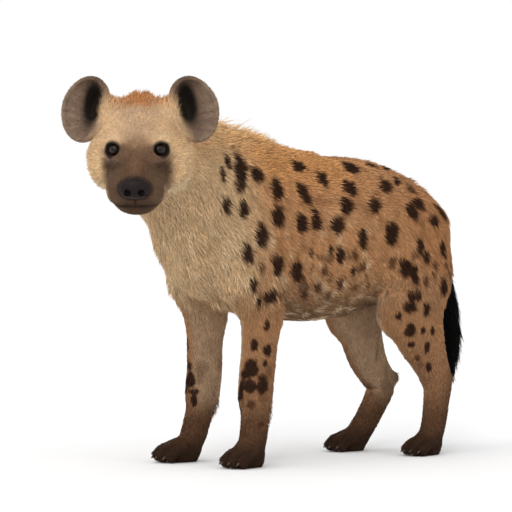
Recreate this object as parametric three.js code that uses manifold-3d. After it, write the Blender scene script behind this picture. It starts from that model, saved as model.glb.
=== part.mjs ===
// Spotted hyena, life size, standing with the head turned to its left.
// Millimetres, +Z up, head end towards -Y, the animal's left towards +X.
// The flesh is one blended form, stated out to the tips of the coat, then divided
// by thin cuts where the parts of the body are named.
import * as THREE from 'three';
import { mergeVertices } from 'three/addons/utils/BufferGeometryUtils.js';
import Module from 'manifold-3d';

const wasm = await Module();
wasm.setup();
const { Manifold, Mesh } = wasm;

// Overall settings.
const CUT = 0.3;             // width of the cuts between named parts
const BODY_STEP = 9;         // spacing of the points that the body is worked out on
const BODY_TOLERANCE = 4;    // how far the facets may stray from the form
const JOINED_TOLERANCE = 3;  // the same, once the ears are joined on
const EAR_STEP = 4;          // the same two for the ears
const EAR_TOLERANCE = 3;
const SLIVER = 0.08;         // edges shorter than this are closed up
const REACH = 90;            // beyond this distance a form has no influence

// How softly each form runs into what it joins.
const BLEND = {
  neck: 60, crest: 26, tail: 18, knee: 40, heel: 16, paw: 16, leg: 34, head: 36,
  earRoot: 14, rootPit: 6, shellPit: 5, earBowl: 3, earRim: 4, palm: 9, toes: 4, eyeOpening: 5,
};

// The body: stations are [x, y, z, half width, half height].
const TRUNK = [
  [0, -330, 508, 98, 120], [0, -240, 570, 122, 192], [0, -140, 558, 132, 200],
  [0, -20, 546, 140, 204], [0, 100, 548, 138, 199], [0, 200, 558, 128, 180],
  [0, 300, 558, 112, 140], [0, 379, 538, 90, 105],
];
const NECK = [
  [0, -215, 600, 116, 168], [6, -330, 656, 116, 150], [30, -440, 710, 110, 124],
  [58, -530, 768, 98, 108],
];
const CREST = [
  [70, -525, 862, 26, 30], [42, -440, 852, 24, 34], [12, -330, 820, 22, 38],
  [0, -215, 787, 22, 38], [0, -100, 755, 22, 28], [0, 10, 740, 22, 20],
];
const TAIL = [
  [0, 416, 588, 34, 36], [0, 450, 540, 27, 28], [0, 463, 470, 24, 24],
  [0, 470, 390, 29, 28], [0, 474, 310, 33, 31], [0, 474, 240, 27, 25],
  [0, 472, 190, 13, 13],
];
const FORELEG = {
  left: [
    [66, -190, 650, 46, 72], [84, -262, 500, 58, 84], [98, -216, 385, 49, 63],
    [100, -219, 300, 39, 47], [100, -227, 225, 38, 45], [101, -233, 168, 37, 44],
    [102, -235, 125, 33, 35], [103, -241, 70, 33, 34], [104, -253, 40, 34, 35],
  ],
  right: [
    [-66, -190, 650, 46, 72], [-84, -264, 500, 58, 85], [-99, -226, 385, 50, 66],
    [-102, -226, 300, 39, 48], [-104, -226, 225, 37, 46], [-107, -230, 168, 36, 46],
    [-110, -238, 122, 32, 35], [-114, -251, 70, 32, 33], [-117, -262, 38, 31, 31],
  ],
};
const HINDLEG = {
  left: [
    [62, 312, 588, 58, 92], [86, 292, 470, 64, 115], [98, 281, 362, 55, 87],
    [101, 298, 298, 45, 72], [103, 324, 244, 38, 53], [105, 340, 208, 35, 45],
    [105, 352, 172, 33, 38], [105, 348, 125, 30, 34], [105, 338, 70, 30, 31],
    [105, 326, 38, 32, 32],
  ],
  right: [
    [-62, 312, 588, 58, 92], [-86, 292, 470, 64, 112], [-98, 258, 358, 55, 77],
    [-101, 277, 298, 45, 61], [-104, 299, 242, 39, 53], [-106, 323, 205, 34, 47],
    [-107, 349, 170, 33, 41], [-108, 336, 128, 30, 35], [-109, 303, 76, 30, 32],
    [-110, 276, 42, 32, 32],
  ],
};
const HEEL = {
  left: [[105, 354, 186, 19, 21], [105, 386, 190, 12, 14]],
  right: [[-107, 358, 180, 19, 21], [-107, 399, 183, 12, 14]],
};
const KNEE_AT = { left: [99, 212, 352], right: [-99, 217, 350] };
const KNEE_SIZE = [40, 40, 46];

// Paws: where the middle of each stands and how far it is turned out, in degrees.
const FOREPAW = { left: [105, -268, 4], right: [-124, -292, 14] };
const HINDPAW = { left: [106, 306, 4], right: [-111, 240, 8] };
const HINDPAW_SIZE = 0.94;
const PALM = [
  { at: [-8, 0, 26], size: [46, 34, 36] },
  { at: [-34, 0, 20], size: [20, 25, 28] },
];
const MIDDLE_TOE = [[0, 10.5, 38, 15, 15], [32, 11.5, 33, 14.5, 15], [50, 11.5, 15, 12.5, 18]];
const OUTER_TOE = [[-6, 27, 34, 14, 14], [20, 30, 28, 14, 14], [38, 30, 14, 12, 17.5]];
const CLAW_ROOTS = { middle: [56, 11.5, 20], outer: [45, 31, 18] };
const CLAW_LENGTH = 16;
const CLAW_HALF_WIDTH = 3.6;

// The head: x forward, y to the animal's left, z up, from between the eyes.
const EYES_AT = [150, -624, 759];
const HEAD_TURN = 48.5;     // degrees to the left of straight ahead
const HEAD_NOD = 24;        // degrees below level
const EYE_AT = [5, 49.5, 2];
const EYE_RADIUS = 16;
const EYE_LOOKS = [0.88, 0.33, 0.3];
const EYE_OPENING = { ahead: 14, size: [15, 17, 14] };
const MUZZLE = [
  [-40, 0, 8, 74, 56], [10, 0, -20, 66, 43], [60, 0, -46, 58, 42], [92, 0, -57, 47, 38],
];
const HEAD_FORMS = [
  { blob: [-72, 0, 20], size: [92, 82, 74], blend: 0 },           // braincase
  { chain: MUZZLE, blend: 30 },
  { blob: [-60, 73, -50], size: [66, 51, 74], blend: 34 },        // cheek
  { blob: [-36, 0, 50], size: [56, 60, 44], blend: 30 },          // forehead and its tuft
  { chain: [[-76, 0, -78, 88, 60], [0, 0, -92, 70, 38], [76, 0, -105, 47, 28]], blend: 20 },
  { blob: [50, 39, -73], size: [56, 33, 36], blend: 18 },         // lip
  { blob: [-18, 66, -16], size: [34, 22, 20], blend: 16 },        // cheekbone
  { blob: [-12, 50, 18], size: [24, 26, 13], blend: 10 },         // brow
];
const NOSE = { blob: [110, 0, -50], size: [18, 34, 24] };
const EAR_ROOT = [[-92, 54, 42, 34, 40], [-120, 90, 48, 24, 38]];
const EAR_AT = [-98, 130, 60];
const EAR_FACES = [0.86, 0.30, 0.40];
const EAR_TILT = 12;
const EAR_SHELL = {
  outer: [35, 59.5, 79.5], inner: [25.5, 48, 68], outerBack: 12, innerBack: -2, rim: 6,
};
const EAR_LEAN = 6;          // how far the upper half is set in towards the head
const EAR_PIT = { at: [-8, -14, 10], size: [24, 17, 36] };

// Colours.
const COAT = 0xbe8c62, CREAM = 0xbea582, FACE = 0x8a6c55, LEG = 0x82644e, FOOT = 0x5a3e2d;
const EAR_GREY = 0xa5917d, BLACK_HAIR = 0x19140f, NOSE_BLACK = 0x322d2d, EYE_BROWN = 0x20150e;
const CLAW_HORN = 0x2c2420;

// Vectors.
const sub = (a, b) => [a[0] - b[0], a[1] - b[1], a[2] - b[2]];
const add = (a, b) => [a[0] + b[0], a[1] + b[1], a[2] + b[2]];
const scale = (a, k) => [a[0] * k, a[1] * k, a[2] * k];
const dot = (a, b) => a[0] * b[0] + a[1] * b[1] + a[2] * b[2];
const cross = (a, b) => [
  a[1] * b[2] - a[2] * b[1], a[2] * b[0] - a[0] * b[2], a[0] * b[1] - a[1] * b[0],
];
const unit = (a) => scale(a, 1 / Math.hypot(...a));
const radians = (degrees) => degrees * Math.PI / 180;

// Blended forms.
function ellipsoidDistance(a, b, c, ra, rb, rc) {
  const xa = a / ra, xb = b / rb, xc = c / rc;
  const k0 = Math.sqrt(xa * xa + xb * xb + xc * xc) + 1e-6;
  const k1 = Math.sqrt((xa / ra) ** 2 + (xb / rb) ** 2 + (xc / rc) ** 2) + 1e-9;
  return k0 * (k0 - 1) / k1;
}

const blendMin = (a, b, k) => {
  if (k <= 0) return Math.min(a, b);
  const h = Math.max(k - Math.abs(a - b), 0) / k;
  return Math.min(a, b) - h * h * k * 0.25;
};
const blendMax = (a, b, k) => -blendMin(-a, -b, k);

// Points between the stated stations, on a smooth curve through them.
function refine(stations, pieces = 3) {
  if (stations.length < 3) return stations;
  const n = stations.length;
  const ends = (i, j) => stations[i].map((v, k) => 2 * v - stations[j][k]);
  const p = [ends(0, 1), ...stations, ends(n - 1, n - 2)];
  const out = [];
  for (let i = 1; i < p.length - 2; i++) {
    for (let j = 0; j < pieces; j++) {
      const t = j / pieces;
      out.push(p[i].map((b, k) => {
        const a = p[i - 1][k], c = p[i + 1][k], d = p[i + 2][k];
        return 0.5 * (2 * b + (c - a) * t + (2 * a - 5 * b + 4 * c - d) * t * t
          + (3 * b - a - 3 * c + d) * t ** 3);
      }));
    }
  }
  out.push(stations[n - 1]);
  return out;
}

function segment(a, b, up, cap) {
  const line = sub(b, a);
  const length = Math.hypot(...line);
  const u = scale(line, 1 / length);
  const s = unit(cross(up, u));
  const h = cross(u, s);
  const reach = Math.max(a[3], a[4], b[3], b[4]) + REACH;
  return {
    low: [0, 1, 2].map((i) => Math.min(a[i], b[i]) - reach),
    high: [0, 1, 2].map((i) => Math.max(a[i], b[i]) + reach),
    distance(p) {
      const q = sub(p, a);
      const along = dot(q, u);
      const t = Math.min(Math.max(along / length, 0), 1);
      const width = a[3] + (b[3] - a[3]) * t, height = a[4] + (b[4] - a[4]) * t;
      return ellipsoidDistance(dot(q, s), dot(q, h), along - t * length,
        width, height, Math.min(width, height) * cap);
    },
  };
}

function chain(stations, up = [0, 0, 1], cap = 0.8) {
  const points = refine(stations);
  return points.slice(1).map((b, i) => segment(points[i], b, up, cap));
}

function blob(at, size) {
  const reach = Math.max(...size) + REACH;
  return {
    low: at.map((v) => v - reach),
    high: at.map((v) => v + reach),
    distance: (p) => ellipsoidDistance(p[0] - at[0], p[1] - at[1], p[2] - at[2], ...size),
  };
}

function nearest(forms, p) {
  let d = REACH;
  for (const f of forms) {
    if (p[0] > f.low[0] && p[0] < f.high[0] && p[1] > f.low[1] && p[1] < f.high[1]
      && p[2] > f.low[2] && p[2] < f.high[2]) d = Math.min(d, f.distance(p));
  }
  return d;
}

// The paws.
const PAW_REACH = 190;       // beyond this distance a paw has no influence
function makePaw([x, y, turn], side, size) {
  const sign = side === 'left' ? 1 : -1;
  const angle = radians(turn) * sign;
  const forward = [Math.sin(angle), -Math.cos(angle), 0];
  const sideways = [Math.cos(angle), Math.sin(angle), 0];
  const palm = PALM.map((b) => blob(b.at, b.size));
  const middle = chain(MIDDLE_TOE), outer = chain(OUTER_TOE);
  return {
    forward, sideways, size, origin: [x, y, 0],
    place: (q) => add([x, y, 0], scale(
      add(add(scale(forward, q[0]), scale(sideways, q[1])), [0, 0, q[2]]), size)),
    distance(p) {
      const o = sub(p, [x, y, 0]);
      if (Math.max(Math.abs(o[0]), Math.abs(o[1]), o[2]) > PAW_REACH) return REACH;
      const q = [dot(o, forward) / size, Math.abs(dot(o, sideways)) / size, o[2] / size];
      const toes = blendMin(nearest(middle, q), nearest(outer, q), BLEND.toes);
      return Math.min(blendMin(nearest(palm, q), toes, BLEND.palm) * size, REACH);
    },
  };
}

// The head in place.
const turn = radians(HEAD_TURN), nod = radians(HEAD_NOD);
const HEAD_FORWARD = [Math.sin(turn) * Math.cos(nod), -Math.cos(turn) * Math.cos(nod), -Math.sin(nod)];
const HEAD_UP = [Math.sin(turn) * Math.sin(nod), -Math.cos(turn) * Math.sin(nod), Math.cos(nod)];
const HEAD_LEFT = cross(HEAD_UP, HEAD_FORWARD);
const headPoint = (q) => add(EYES_AT, add(add(
  scale(HEAD_FORWARD, q[0]), scale(HEAD_LEFT, q[1])), scale(HEAD_UP, q[2])));
const toHead = (p) => {
  const q = sub(p, EYES_AT);
  return [dot(q, HEAD_FORWARD), Math.abs(dot(q, HEAD_LEFT)), dot(q, HEAD_UP)];
};
const headForms = HEAD_FORMS.map((f) => ({
  forms: f.chain ? chain(f.chain, [0, 0, 1], 0.75) : [blob(f.blob, f.size)], blend: f.blend,
}));
const earRoot = chain(EAR_ROOT);
const eyeOpeningAt = add(EYE_AT, scale(EYE_LOOKS, EYE_OPENING.ahead));

const earFaces = unit(EAR_FACES);
const earSide = unit(cross(cross(earFaces, [0, 1, 0]), earFaces));
let earRise = cross(earFaces, earSide);
if (earRise[2] < 0) earRise = scale(earRise, -1);
const tilt = radians(EAR_TILT);
const earUp = unit(sub(scale(earRise, Math.cos(tilt)), scale(earSide, Math.sin(tilt))));
const earOut = unit(add(scale(earSide, Math.cos(tilt)), scale(earRise, Math.sin(tilt))));
const toEar = (q) => {
  const o = sub(q, EAR_AT);
  return [dot(o, earFaces), dot(o, earOut), dot(o, earUp)];
};

const smoothStep = (t) => t * t * (3 - 2 * t);

function pitDistance([n, o, u]) {
  return ellipsoidDistance(n - EAR_PIT.at[0], o - EAR_PIT.at[1], u - EAR_PIT.at[2], ...EAR_PIT.size);
}

function earDistance(q) {
  const [n, out, u] = toEar(q);
  const o = out + EAR_LEAN * smoothStep(Math.min(Math.max(u / EAR_SHELL.outer[2], 0), 1));
  const outer = ellipsoidDistance(n + EAR_SHELL.outerBack, o, u, ...EAR_SHELL.outer);
  const inner = ellipsoidDistance(n + EAR_SHELL.innerBack, o + 1, u, ...EAR_SHELL.inner);
  const bowl = blendMax(outer, -inner, BLEND.earBowl);
  const shell = blendMax(bowl, n - EAR_SHELL.rim + 0.1 * Math.abs(o), BLEND.earRim);
  return blendMax(shell, -pitDistance([n, o, u]), BLEND.shellPit);
}

function headDistance(p) {
  const q = toHead(p);
  let d = REACH;
  for (const f of headForms) d = blendMin(d, nearest(f.forms, q), f.blend);
  const root = blendMax(nearest(earRoot, q), -pitDistance(toEar(q)), BLEND.rootPit);
  d = blendMin(d, root, BLEND.earRoot);
  const [e, f, g] = sub(q, eyeOpeningAt);
  return blendMax(d, -ellipsoidDistance(e, f, g, ...EYE_OPENING.size), BLEND.eyeOpening);
}

// The whole body.
const SIDES = ['left', 'right'];
const HEAD_MIDDLE = [110, -584, 750], HEAD_REACH = 340;  // the head has no influence beyond
const trunk = chain(TRUNK, [0, 0, 1], 0.78), neck = chain(NECK), crest = chain(CREST);
const tail = chain(TAIL, [0, 1, 0]);
const legs = [];
const paws = {};
for (const side of SIDES) {
  paws[`forepaw_${side}`] = makePaw(FOREPAW[side], side, 1);
  paws[`hindpaw_${side}`] = makePaw(HINDPAW[side], side, HINDPAW_SIZE);
  legs.push({ limb: chain(FORELEG[side], [0, 1, 0]), paw: paws[`forepaw_${side}`] });
  legs.push({
    limb: chain(HINDLEG[side], [0, 1, 0]),
    knee: [blob(KNEE_AT[side], KNEE_SIZE)],
    heel: chain(HEEL[side]),
    paw: paws[`hindpaw_${side}`],
  });
}

function bodyDistance(p) {
  let d = nearest(trunk, p);
  d = blendMin(d, nearest(neck, p), BLEND.neck);
  d = blendMin(d, nearest(crest, p), BLEND.crest);
  d = blendMin(d, nearest(tail, p), BLEND.tail);
  for (const leg of legs) {
    let e = nearest(leg.limb, p);
    if (leg.knee) e = blendMin(e, nearest(leg.knee, p), BLEND.knee);
    if (leg.heel) e = blendMin(e, nearest(leg.heel, p), BLEND.heel);
    e = blendMin(e, leg.paw.distance(p), BLEND.paw);
    d = blendMin(d, e, BLEND.leg);
  }
  if (Math.max(...sub(p, HEAD_MIDDLE).map(Math.abs)) < HEAD_REACH) {
    d = blendMin(d, Math.min(headDistance(p), REACH), BLEND.head);
  }
  return d;
}

// From a form to a closed mesh.
const CORNERS = [];
for (const i of [0, 1]) for (const j of [0, 1]) for (const k of [0, 1]) CORNERS.push([i, j, k]);
const BLOCK = 4;

function meshOf(form, low, high, step) {
  const n = low.map((l, i) => Math.ceil((high[i] - l) / step / BLOCK) * BLOCK + 1);
  const at = (i, j, k) => (i * n[1] + j) * n[2] + k;
  const point = (i, j, k) => [low[0] + i * step, low[1] + j * step, low[2] + k * step];
  const value = new Float64Array(n[0] * n[1] * n[2]).fill(NaN);
  const read = (i, j, k) => {
    const c = at(i, j, k);
    if (Number.isNaN(value[c])) value[c] = form(point(i, j, k));
    return value[c];
  };
  const number = new Map();
  const points = [];
  const cells = [];
  for (let i = 0; i < n[0] - 1; i += BLOCK) {
    for (let j = 0; j < n[1] - 1; j += BLOCK) {
      for (let k = 0; k < n[2] - 1; k += BLOCK) {
        let least = Infinity, most = -Infinity, close = Infinity;
        for (const [a, b, c] of CORNERS) {
          const v = read(i + a * BLOCK, j + b * BLOCK, k + c * BLOCK);
          least = Math.min(least, v);
          most = Math.max(most, v);
          close = Math.min(close, Math.abs(v));
        }
        if (close > step * BLOCK * 1.9 && !(least < 0 && most > 0)) continue;
        for (let a = 0; a < BLOCK; a++) {
          for (let b = 0; b < BLOCK; b++) {
            for (let c = 0; c < BLOCK; c++) cells.push([i + a, j + b, k + c]);
          }
        }
      }
    }
  }
  for (const [i, j, k] of cells) {
    let inside = 0;
    const v = CORNERS.map(([a, b, c]) => read(i + a, j + b, k + c));
    for (const w of v) if (w < 0) inside++;
    if (inside === 0 || inside === 8) continue;
    const sum = [0, 0, 0];
    let count = 0;
    CORNERS.forEach((c, m) => {
      for (let axis = 0; axis < 3; axis++) {
        if (c[axis]) continue;
        const m2 = m + [4, 2, 1][axis];
        if ((v[m] < 0) === (v[m2] < 0)) continue;
        const t = v[m] / (v[m] - v[m2]);
        for (let x = 0; x < 3; x++) sum[x] += c[x] + (x === axis ? t : 0);
        count++;
      }
    });
    let q = sum.map((s, x) => low[x] + ([i, j, k][x] + s / count) * step);
    q = settle(form, settle(form, q, step), step);
    number.set(at(i, j, k), points.length / 3);
    points.push(...q);
  }
  const faces = [];
  for (const [i, j, k] of cells) {
    const v0 = read(i, j, k) < 0;
    for (let axis = 0; axis < 3; axis++) {
      const d = [0, 0, 0];
      d[axis] = 1;
      const v1 = read(i + d[0], j + d[1], k + d[2]) < 0;
      if (v0 === v1) continue;
      const b = (axis + 1) % 3, c = (axis + 2) % 3;
      const cell = (db, dc) => {
        const o = [i, j, k];
        o[b] += db;
        o[c] += dc;
        return number.get(at(...o));
      };
      const q = [cell(-1, -1), cell(0, -1), cell(0, 0), cell(-1, 0)];
      if (q.some((x) => x === undefined)) continue;
      if (!v0) q.reverse();
      faces.push(q[0], q[1], q[2], q[0], q[2], q[3]);
    }
  }
  return solidFrom(points, faces);
}

// Moves a point straight onto the surface of the form.
function settle(form, q, step) {
  const e = 0.5;
  const g = [0, 0, 0];
  for (const s of [[1, -1, -1], [-1, -1, 1], [-1, 1, -1], [1, 1, 1]]) {
    const v = form([q[0] + s[0] * e, q[1] + s[1] * e, q[2] + s[2] * e]);
    for (let x = 0; x < 3; x++) g[x] += s[x] * v / (4 * e);
  }
  const k = Math.max(-step * 0.6, Math.min(step * 0.6, form(q))) / Math.max(dot(g, g), 0.2);
  return sub(q, scale(g, k));
}

function solidFrom(points, faces) {
  const mesh = new Mesh({
    numProp: 3, vertProperties: new Float32Array(points), triVerts: new Uint32Array(faces),
  });
  mesh.merge();
  return new Manifold(mesh);
}

function solidFromGeometry(geometry) {
  const g = geometry.clone();
  g.deleteAttribute('normal');
  g.deleteAttribute('uv');
  const m = mergeVertices(g, 1e-4);
  return solidFrom(Array.from(m.attributes.position.array), Array.from(m.index.array));
}

// A box given by its middle, its three directions and its limits along them.
function boxSolid(origin, axes, limits, grow = 0) {
  const size = limits.map(([l, h]) => h - l + 2 * grow);
  const middle = limits.map(([l, h]) => (l + h) / 2);
  const g = new THREE.BoxGeometry(...size);
  const m = new THREE.Matrix4().makeBasis(...axes.map((a) => new THREE.Vector3(...a)));
  m.setPosition(...axes.reduce((at, axis, i) => add(at, scale(axis, middle[i])), origin));
  g.applyMatrix4(m);
  return solidFromGeometry(g);
}

const largest = (solid) => solid.decompose().sort((a, b) => b.volume() - a.volume())[0];

// The solids.
const group = new THREE.Group();
group.name = 'spotted_hyena';
const FINISH = {
  coat: [COAT, 0.85], cream: [CREAM, 0.85], face: [FACE, 0.8], leg: [LEG, 0.85],
  foot: [FOOT, 0.85], ear: [EAR_GREY, 0.85], tuft: [BLACK_HAIR, 0.8],
  nose: [NOSE_BLACK, 0.45], eye: [EYE_BROWN, 0.08], claw: [CLAW_HORN, 0.4],
};

function addPart(name, solid, finish) {
  const m = largest(solid).simplify(SLIVER).getMesh();
  const g = new THREE.BufferGeometry();
  g.setAttribute('position', new THREE.BufferAttribute(new Float32Array(m.vertProperties), 3));
  g.setIndex(new THREE.BufferAttribute(new Uint32Array(m.triVerts), 1));
  g.computeVertexNormals();
  const [color, roughness] = FINISH[finish];
  const material = new THREE.MeshStandardMaterial({ color, roughness, metalness: 0 });
  material.name = finish;
  const mesh = new THREE.Mesh(g, material);
  mesh.name = name;
  group.add(mesh);
  return mesh;
}

const WORLD = [[1, 0, 0], [0, 1, 0], [0, 0, 1]];
const HEAD_AXES = [HEAD_FORWARD, HEAD_LEFT, HEAD_UP];

let body = meshOf(bodyDistance, [-210, -790, -18], [320, 560, 960], BODY_STEP);
body = body.simplify(BODY_TOLERANCE);

// Ears.
const ears = {};
for (const side of SIDES) {
  const s = side === 'left' ? 1 : -1;
  const middle = headPoint([EAR_AT[0], EAR_AT[1] * s, EAR_AT[2]]);
  const form = (p) => {
    const q = sub(p, EYES_AT);
    const lateral = dot(q, HEAD_LEFT) * s;
    if (lateral < 20) return REACH;
    return earDistance([dot(q, HEAD_FORWARD), lateral, dot(q, HEAD_UP)]);
  };
  const half = 110;
  ears[side] = largest(meshOf(form, middle.map((v) => v - half), middle.map((v) => v + half), EAR_STEP)
    .simplify(EAR_TOLERANCE));
}

// Eyes: a ball in a socket that is wider by the cut.
const eyes = {}, sockets = {};
for (const side of SIDES) {
  const s = side === 'left' ? 1 : -1;
  const at = headPoint([EYE_AT[0], EYE_AT[1] * s, EYE_AT[2]]);
  const ball = (r) => {
    const g = new THREE.SphereGeometry(r, 12, 8);
    g.translate(...at);
    return solidFromGeometry(g);
  };
  eyes[side] = ball(EYE_RADIUS);
  sockets[side] = ball(EYE_RADIUS + CUT);
}

// Nose pad.
const noseBall = (grow) => {
  const g = new THREE.SphereGeometry(1, 12, 8);
  g.scale(NOSE.size[0] + grow, NOSE.size[1] + grow, NOSE.size[2] + grow);
  const m = new THREE.Matrix4().makeBasis(...HEAD_AXES.map((a) => new THREE.Vector3(...a)));
  m.setPosition(...headPoint(NOSE.blob));
  g.applyMatrix4(m);
  return solidFromGeometry(g);
};

// Claws: short curved cones let into the toes.
function clawSolid(paw, root, sign, grow) {
  const rings = 3, around = 5;
  const points = [], faces = [];
  for (let r = 0; r < rings; r++) {
    const t = r / rings;
    const half = CLAW_HALF_WIDTH * (1 - 0.75 * t * t) + grow;
    for (let a = 0; a < around; a++) {
      const w = 2 * Math.PI * a / around;
      points.push(...paw.place([
        root[0] - 4 + CLAW_LENGTH * t, sign * root[1] + half * 0.8 * Math.cos(w),
        root[2] - 9 * t * t + half * Math.sin(w),
      ]));
    }
  }
  points.push(...paw.place([root[0] - 4 + CLAW_LENGTH + grow, sign * root[1], root[2] - 10]));
  points.push(...paw.place([root[0] - 4 - grow, sign * root[1], root[2]]));
  const tip = rings * around, heel = tip + 1;
  for (let a = 0; a < around; a++) {
    const b = (a + 1) % around;
    for (let r = 0; r < rings - 1; r++) {
      const p = r * around + a, q = r * around + b;
      faces.push(p, q, q + around, p, q + around, p + around);
    }
    faces.push((rings - 1) * around + a, (rings - 1) * around + b, tip);
    faces.push(b, a, heel);
  }
  let solid = solidFrom(points, faces);
  if (solid.volume() < 0) solid = solidFrom(points, faces.slice().reverse());
  return solid;
}
const claws = [];
for (const [pawName, paw] of Object.entries(paws)) {
  for (const [toe, root] of Object.entries(CLAW_ROOTS)) {
    for (const sign of [1, -1]) {
      const inner = (sign === 1) === pawName.endsWith('right');
      claws.push({
        name: `claw_${pawName}_${toe}_${inner ? 'inner' : 'outer'}`,
        solid: clawSolid(paw, root, sign, 0),
        room: clawSolid(paw, root, sign, CUT),
      });
    }
  }
}

// Room for what is let into the body.
const nose = noseBall(0).subtract(boxSolid(EYES_AT, HEAD_AXES, [[60, 97], [-60, 60], [-120, 40]]));
for (const side of SIDES) body = body.add(ears[side]);
body = largest(body).simplify(JOINED_TOLERANCE).trimByPlane([0, 0, 1], 0);   // flat soles
body = body.subtract(noseBall(CUT)).subtract(sockets.left).subtract(sockets.right);
for (const claw of claws) body = body.subtract(claw.room);

// Each region is cut out in turn; what is left over is the trunk.
const EAR_CUT = radians(35);
const earLimits = [[-150, 150], [-44, 200], [-200, 200]];
const REGIONS = SIDES.map((side) => {
  const s = side === 'left' ? 1 : -1;
  const across = add(scale(HEAD_LEFT, s * Math.cos(EAR_CUT)), scale(HEAD_UP, Math.sin(EAR_CUT)));
  return [`ear_${side}`, headPoint([EAR_AT[0], s * EAR_AT[1], EAR_AT[2]]),
    [HEAD_FORWARD, across, cross(HEAD_FORWARD, across)], earLimits, 'ear'];
});
REGIONS.push(
  ['jaw', EYES_AT, HEAD_AXES, [[-30, 200], [-120, 120], [-200, -76]], 'face'],
  ['head', EYES_AT, HEAD_AXES, [[-150, 220], [-260, 260], [-210, 260]], 'face'],
  ['neck', [5, -300, 650], [unit([0.2, -0.83, 0.52]), unit([0.97, 0.24, 0]), null],
    [[0, 500], [-260, 260], [-230, 330]], 'cream'],
  ['tail_tip', [0, 0, 0], WORLD, [[-60, 60], [436, 600], [100, 300]], 'tuft'],
  ['tail_middle', [0, 0, 0], WORLD, [[-60, 60], [442, 600], [300, 430]], 'tuft'],
  ['tail_base', [0, 0, 0], WORLD, [[-60, 60], [446, 600], [430, 620]], 'coat'],
);
for (const side of SIDES) {
  const x = side === 'left' ? (l, h) => [l, h] : (l, h) => [-h, -l];
  REGIONS.push([`forepaw_${side}`, [0, 0, 0], WORLD, [x(30, 220), [-420, -120], [-10, 60]], 'foot']);
  REGIONS.push([`foreleg_${side}_lower`, [0, 0, 0], WORLD, [x(30, 220), [-420, -120], [60, 150]], 'leg']);
  REGIONS.push([`foreleg_${side}_upper`, [0, 0, 0], WORLD, [x(44, 220), [-420, -130], [150, 400]], 'leg']);
  REGIONS.push([`hindpaw_${side}`, [0, 0, 0], WORLD, [x(30, 220), [100, 440], [-10, 60]], 'foot']);
  REGIONS.push([`hindleg_${side}_lower`, [0, 0, 0], WORLD, [x(30, 220), [100, 440], [60, 215]], 'leg']);
  REGIONS.push([`hindleg_${side}_upper`, [0, 0, 0], WORLD, [x(36, 220), [150, 440], [215, 420]], 'leg']);
}
REGIONS.push(['rump', [0, 0, 0], WORLD, [[-260, 260], [170, 600], [100, 900]], 'coat']);
REGIONS.push(['barrel', [0, 0, 0], WORLD, [[-260, 260], [-70, 170], [100, 900]], 'coat']);
REGIONS.push(['chest', [0, 0, 0], WORLD, [[-260, 260], [-600, -70], [100, 1000]], 'coat']);

let rest = body;
for (const [name, origin, axes, limits, finish] of REGIONS) {
  const frame = axes[2] ? axes : [axes[0], axes[1], cross(axes[0], axes[1])];
  const piece = rest.intersect(boxSolid(origin, frame, limits));
  rest = rest.subtract(boxSolid(origin, frame, limits, CUT));
  addPart(name, piece, finish);
}

addPart('nose', nose, 'nose');
for (const side of SIDES) {
  addPart(`eye_${side}`, eyes[side], 'eye');
}
for (const claw of claws) addPart(claw.name, claw.solid, 'claw');

// The origin is the middle of the underside of the whole animal.
const bounds = new THREE.Box3().setFromObject(group);
const middle = bounds.getCenter(new THREE.Vector3());
for (const mesh of group.children) mesh.geometry.translate(-middle.x, -middle.y, 0);

export default group;
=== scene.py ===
"""Spotted hyena, life size, standing with the head turned to its left.

The body is one blended form, the same as in the solids, taken in by the depth of the
coat to give the skin. Tufts of hair grow from the skin along the lie of the coat, and
skin and coat take their markings from the same description. Lengths are millimetres
until a mesh is made; the head end is towards -Y and the animal's left towards +X.
"""

from __future__ import annotations

import logging
import math
from dataclasses import dataclass, field
from enum import Enum

import bpy
import numpy as np
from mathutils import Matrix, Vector
from mathutils.bvhtree import BVHTree


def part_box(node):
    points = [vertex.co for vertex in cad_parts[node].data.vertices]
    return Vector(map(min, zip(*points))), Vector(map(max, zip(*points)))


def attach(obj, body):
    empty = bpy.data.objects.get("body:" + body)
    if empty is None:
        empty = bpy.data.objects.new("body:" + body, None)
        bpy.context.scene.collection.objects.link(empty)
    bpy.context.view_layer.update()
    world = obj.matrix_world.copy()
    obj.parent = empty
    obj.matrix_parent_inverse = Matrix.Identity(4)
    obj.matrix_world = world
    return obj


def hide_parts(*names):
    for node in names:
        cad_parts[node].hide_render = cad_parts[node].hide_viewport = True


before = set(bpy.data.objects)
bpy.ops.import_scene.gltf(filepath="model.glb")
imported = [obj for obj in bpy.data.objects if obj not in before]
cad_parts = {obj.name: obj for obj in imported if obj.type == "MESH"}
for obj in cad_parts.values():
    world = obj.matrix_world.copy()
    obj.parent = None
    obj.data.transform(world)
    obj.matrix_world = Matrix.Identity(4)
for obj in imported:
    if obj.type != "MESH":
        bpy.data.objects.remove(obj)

log = logging.getLogger("hyena")

Array = np.ndarray
Row = tuple[float, ...]

MM = 0.001
REACH = 66.0
SEED = 11
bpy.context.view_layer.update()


def unit(v: Array) -> Array:
    """The vectors, each of length one."""
    v = np.asarray(v, float)
    return v / np.maximum(np.linalg.norm(v, axis=-1, keepdims=True), 1e-9)


def ramp(x: Array, start: float, end: float) -> Array:
    """Rises smoothly from 0 at start to 1 at end, or falls where end is the lower."""
    t = np.clip((x - start) / (end - start), 0.0, 1.0)
    return t * t * (3.0 - 2.0 * t)


def hill(x: Array, centre: float, half: float) -> Array:
    """A smooth hump, 1 at the centre and near 0 beyond twice the half width."""
    return np.exp(-(((x - centre) / half) ** 2))


def mix(a: Array, b: Array, t: Array) -> Array:
    """Blends rows of a into b by t."""
    t = np.asarray(t)[..., None]
    return a * (1.0 - t) + b * t


def toward(a: Array, b: Array, t: Array) -> Array:
    """Moves numbers a to b by t."""
    return a * (1 - t) + t * b


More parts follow.
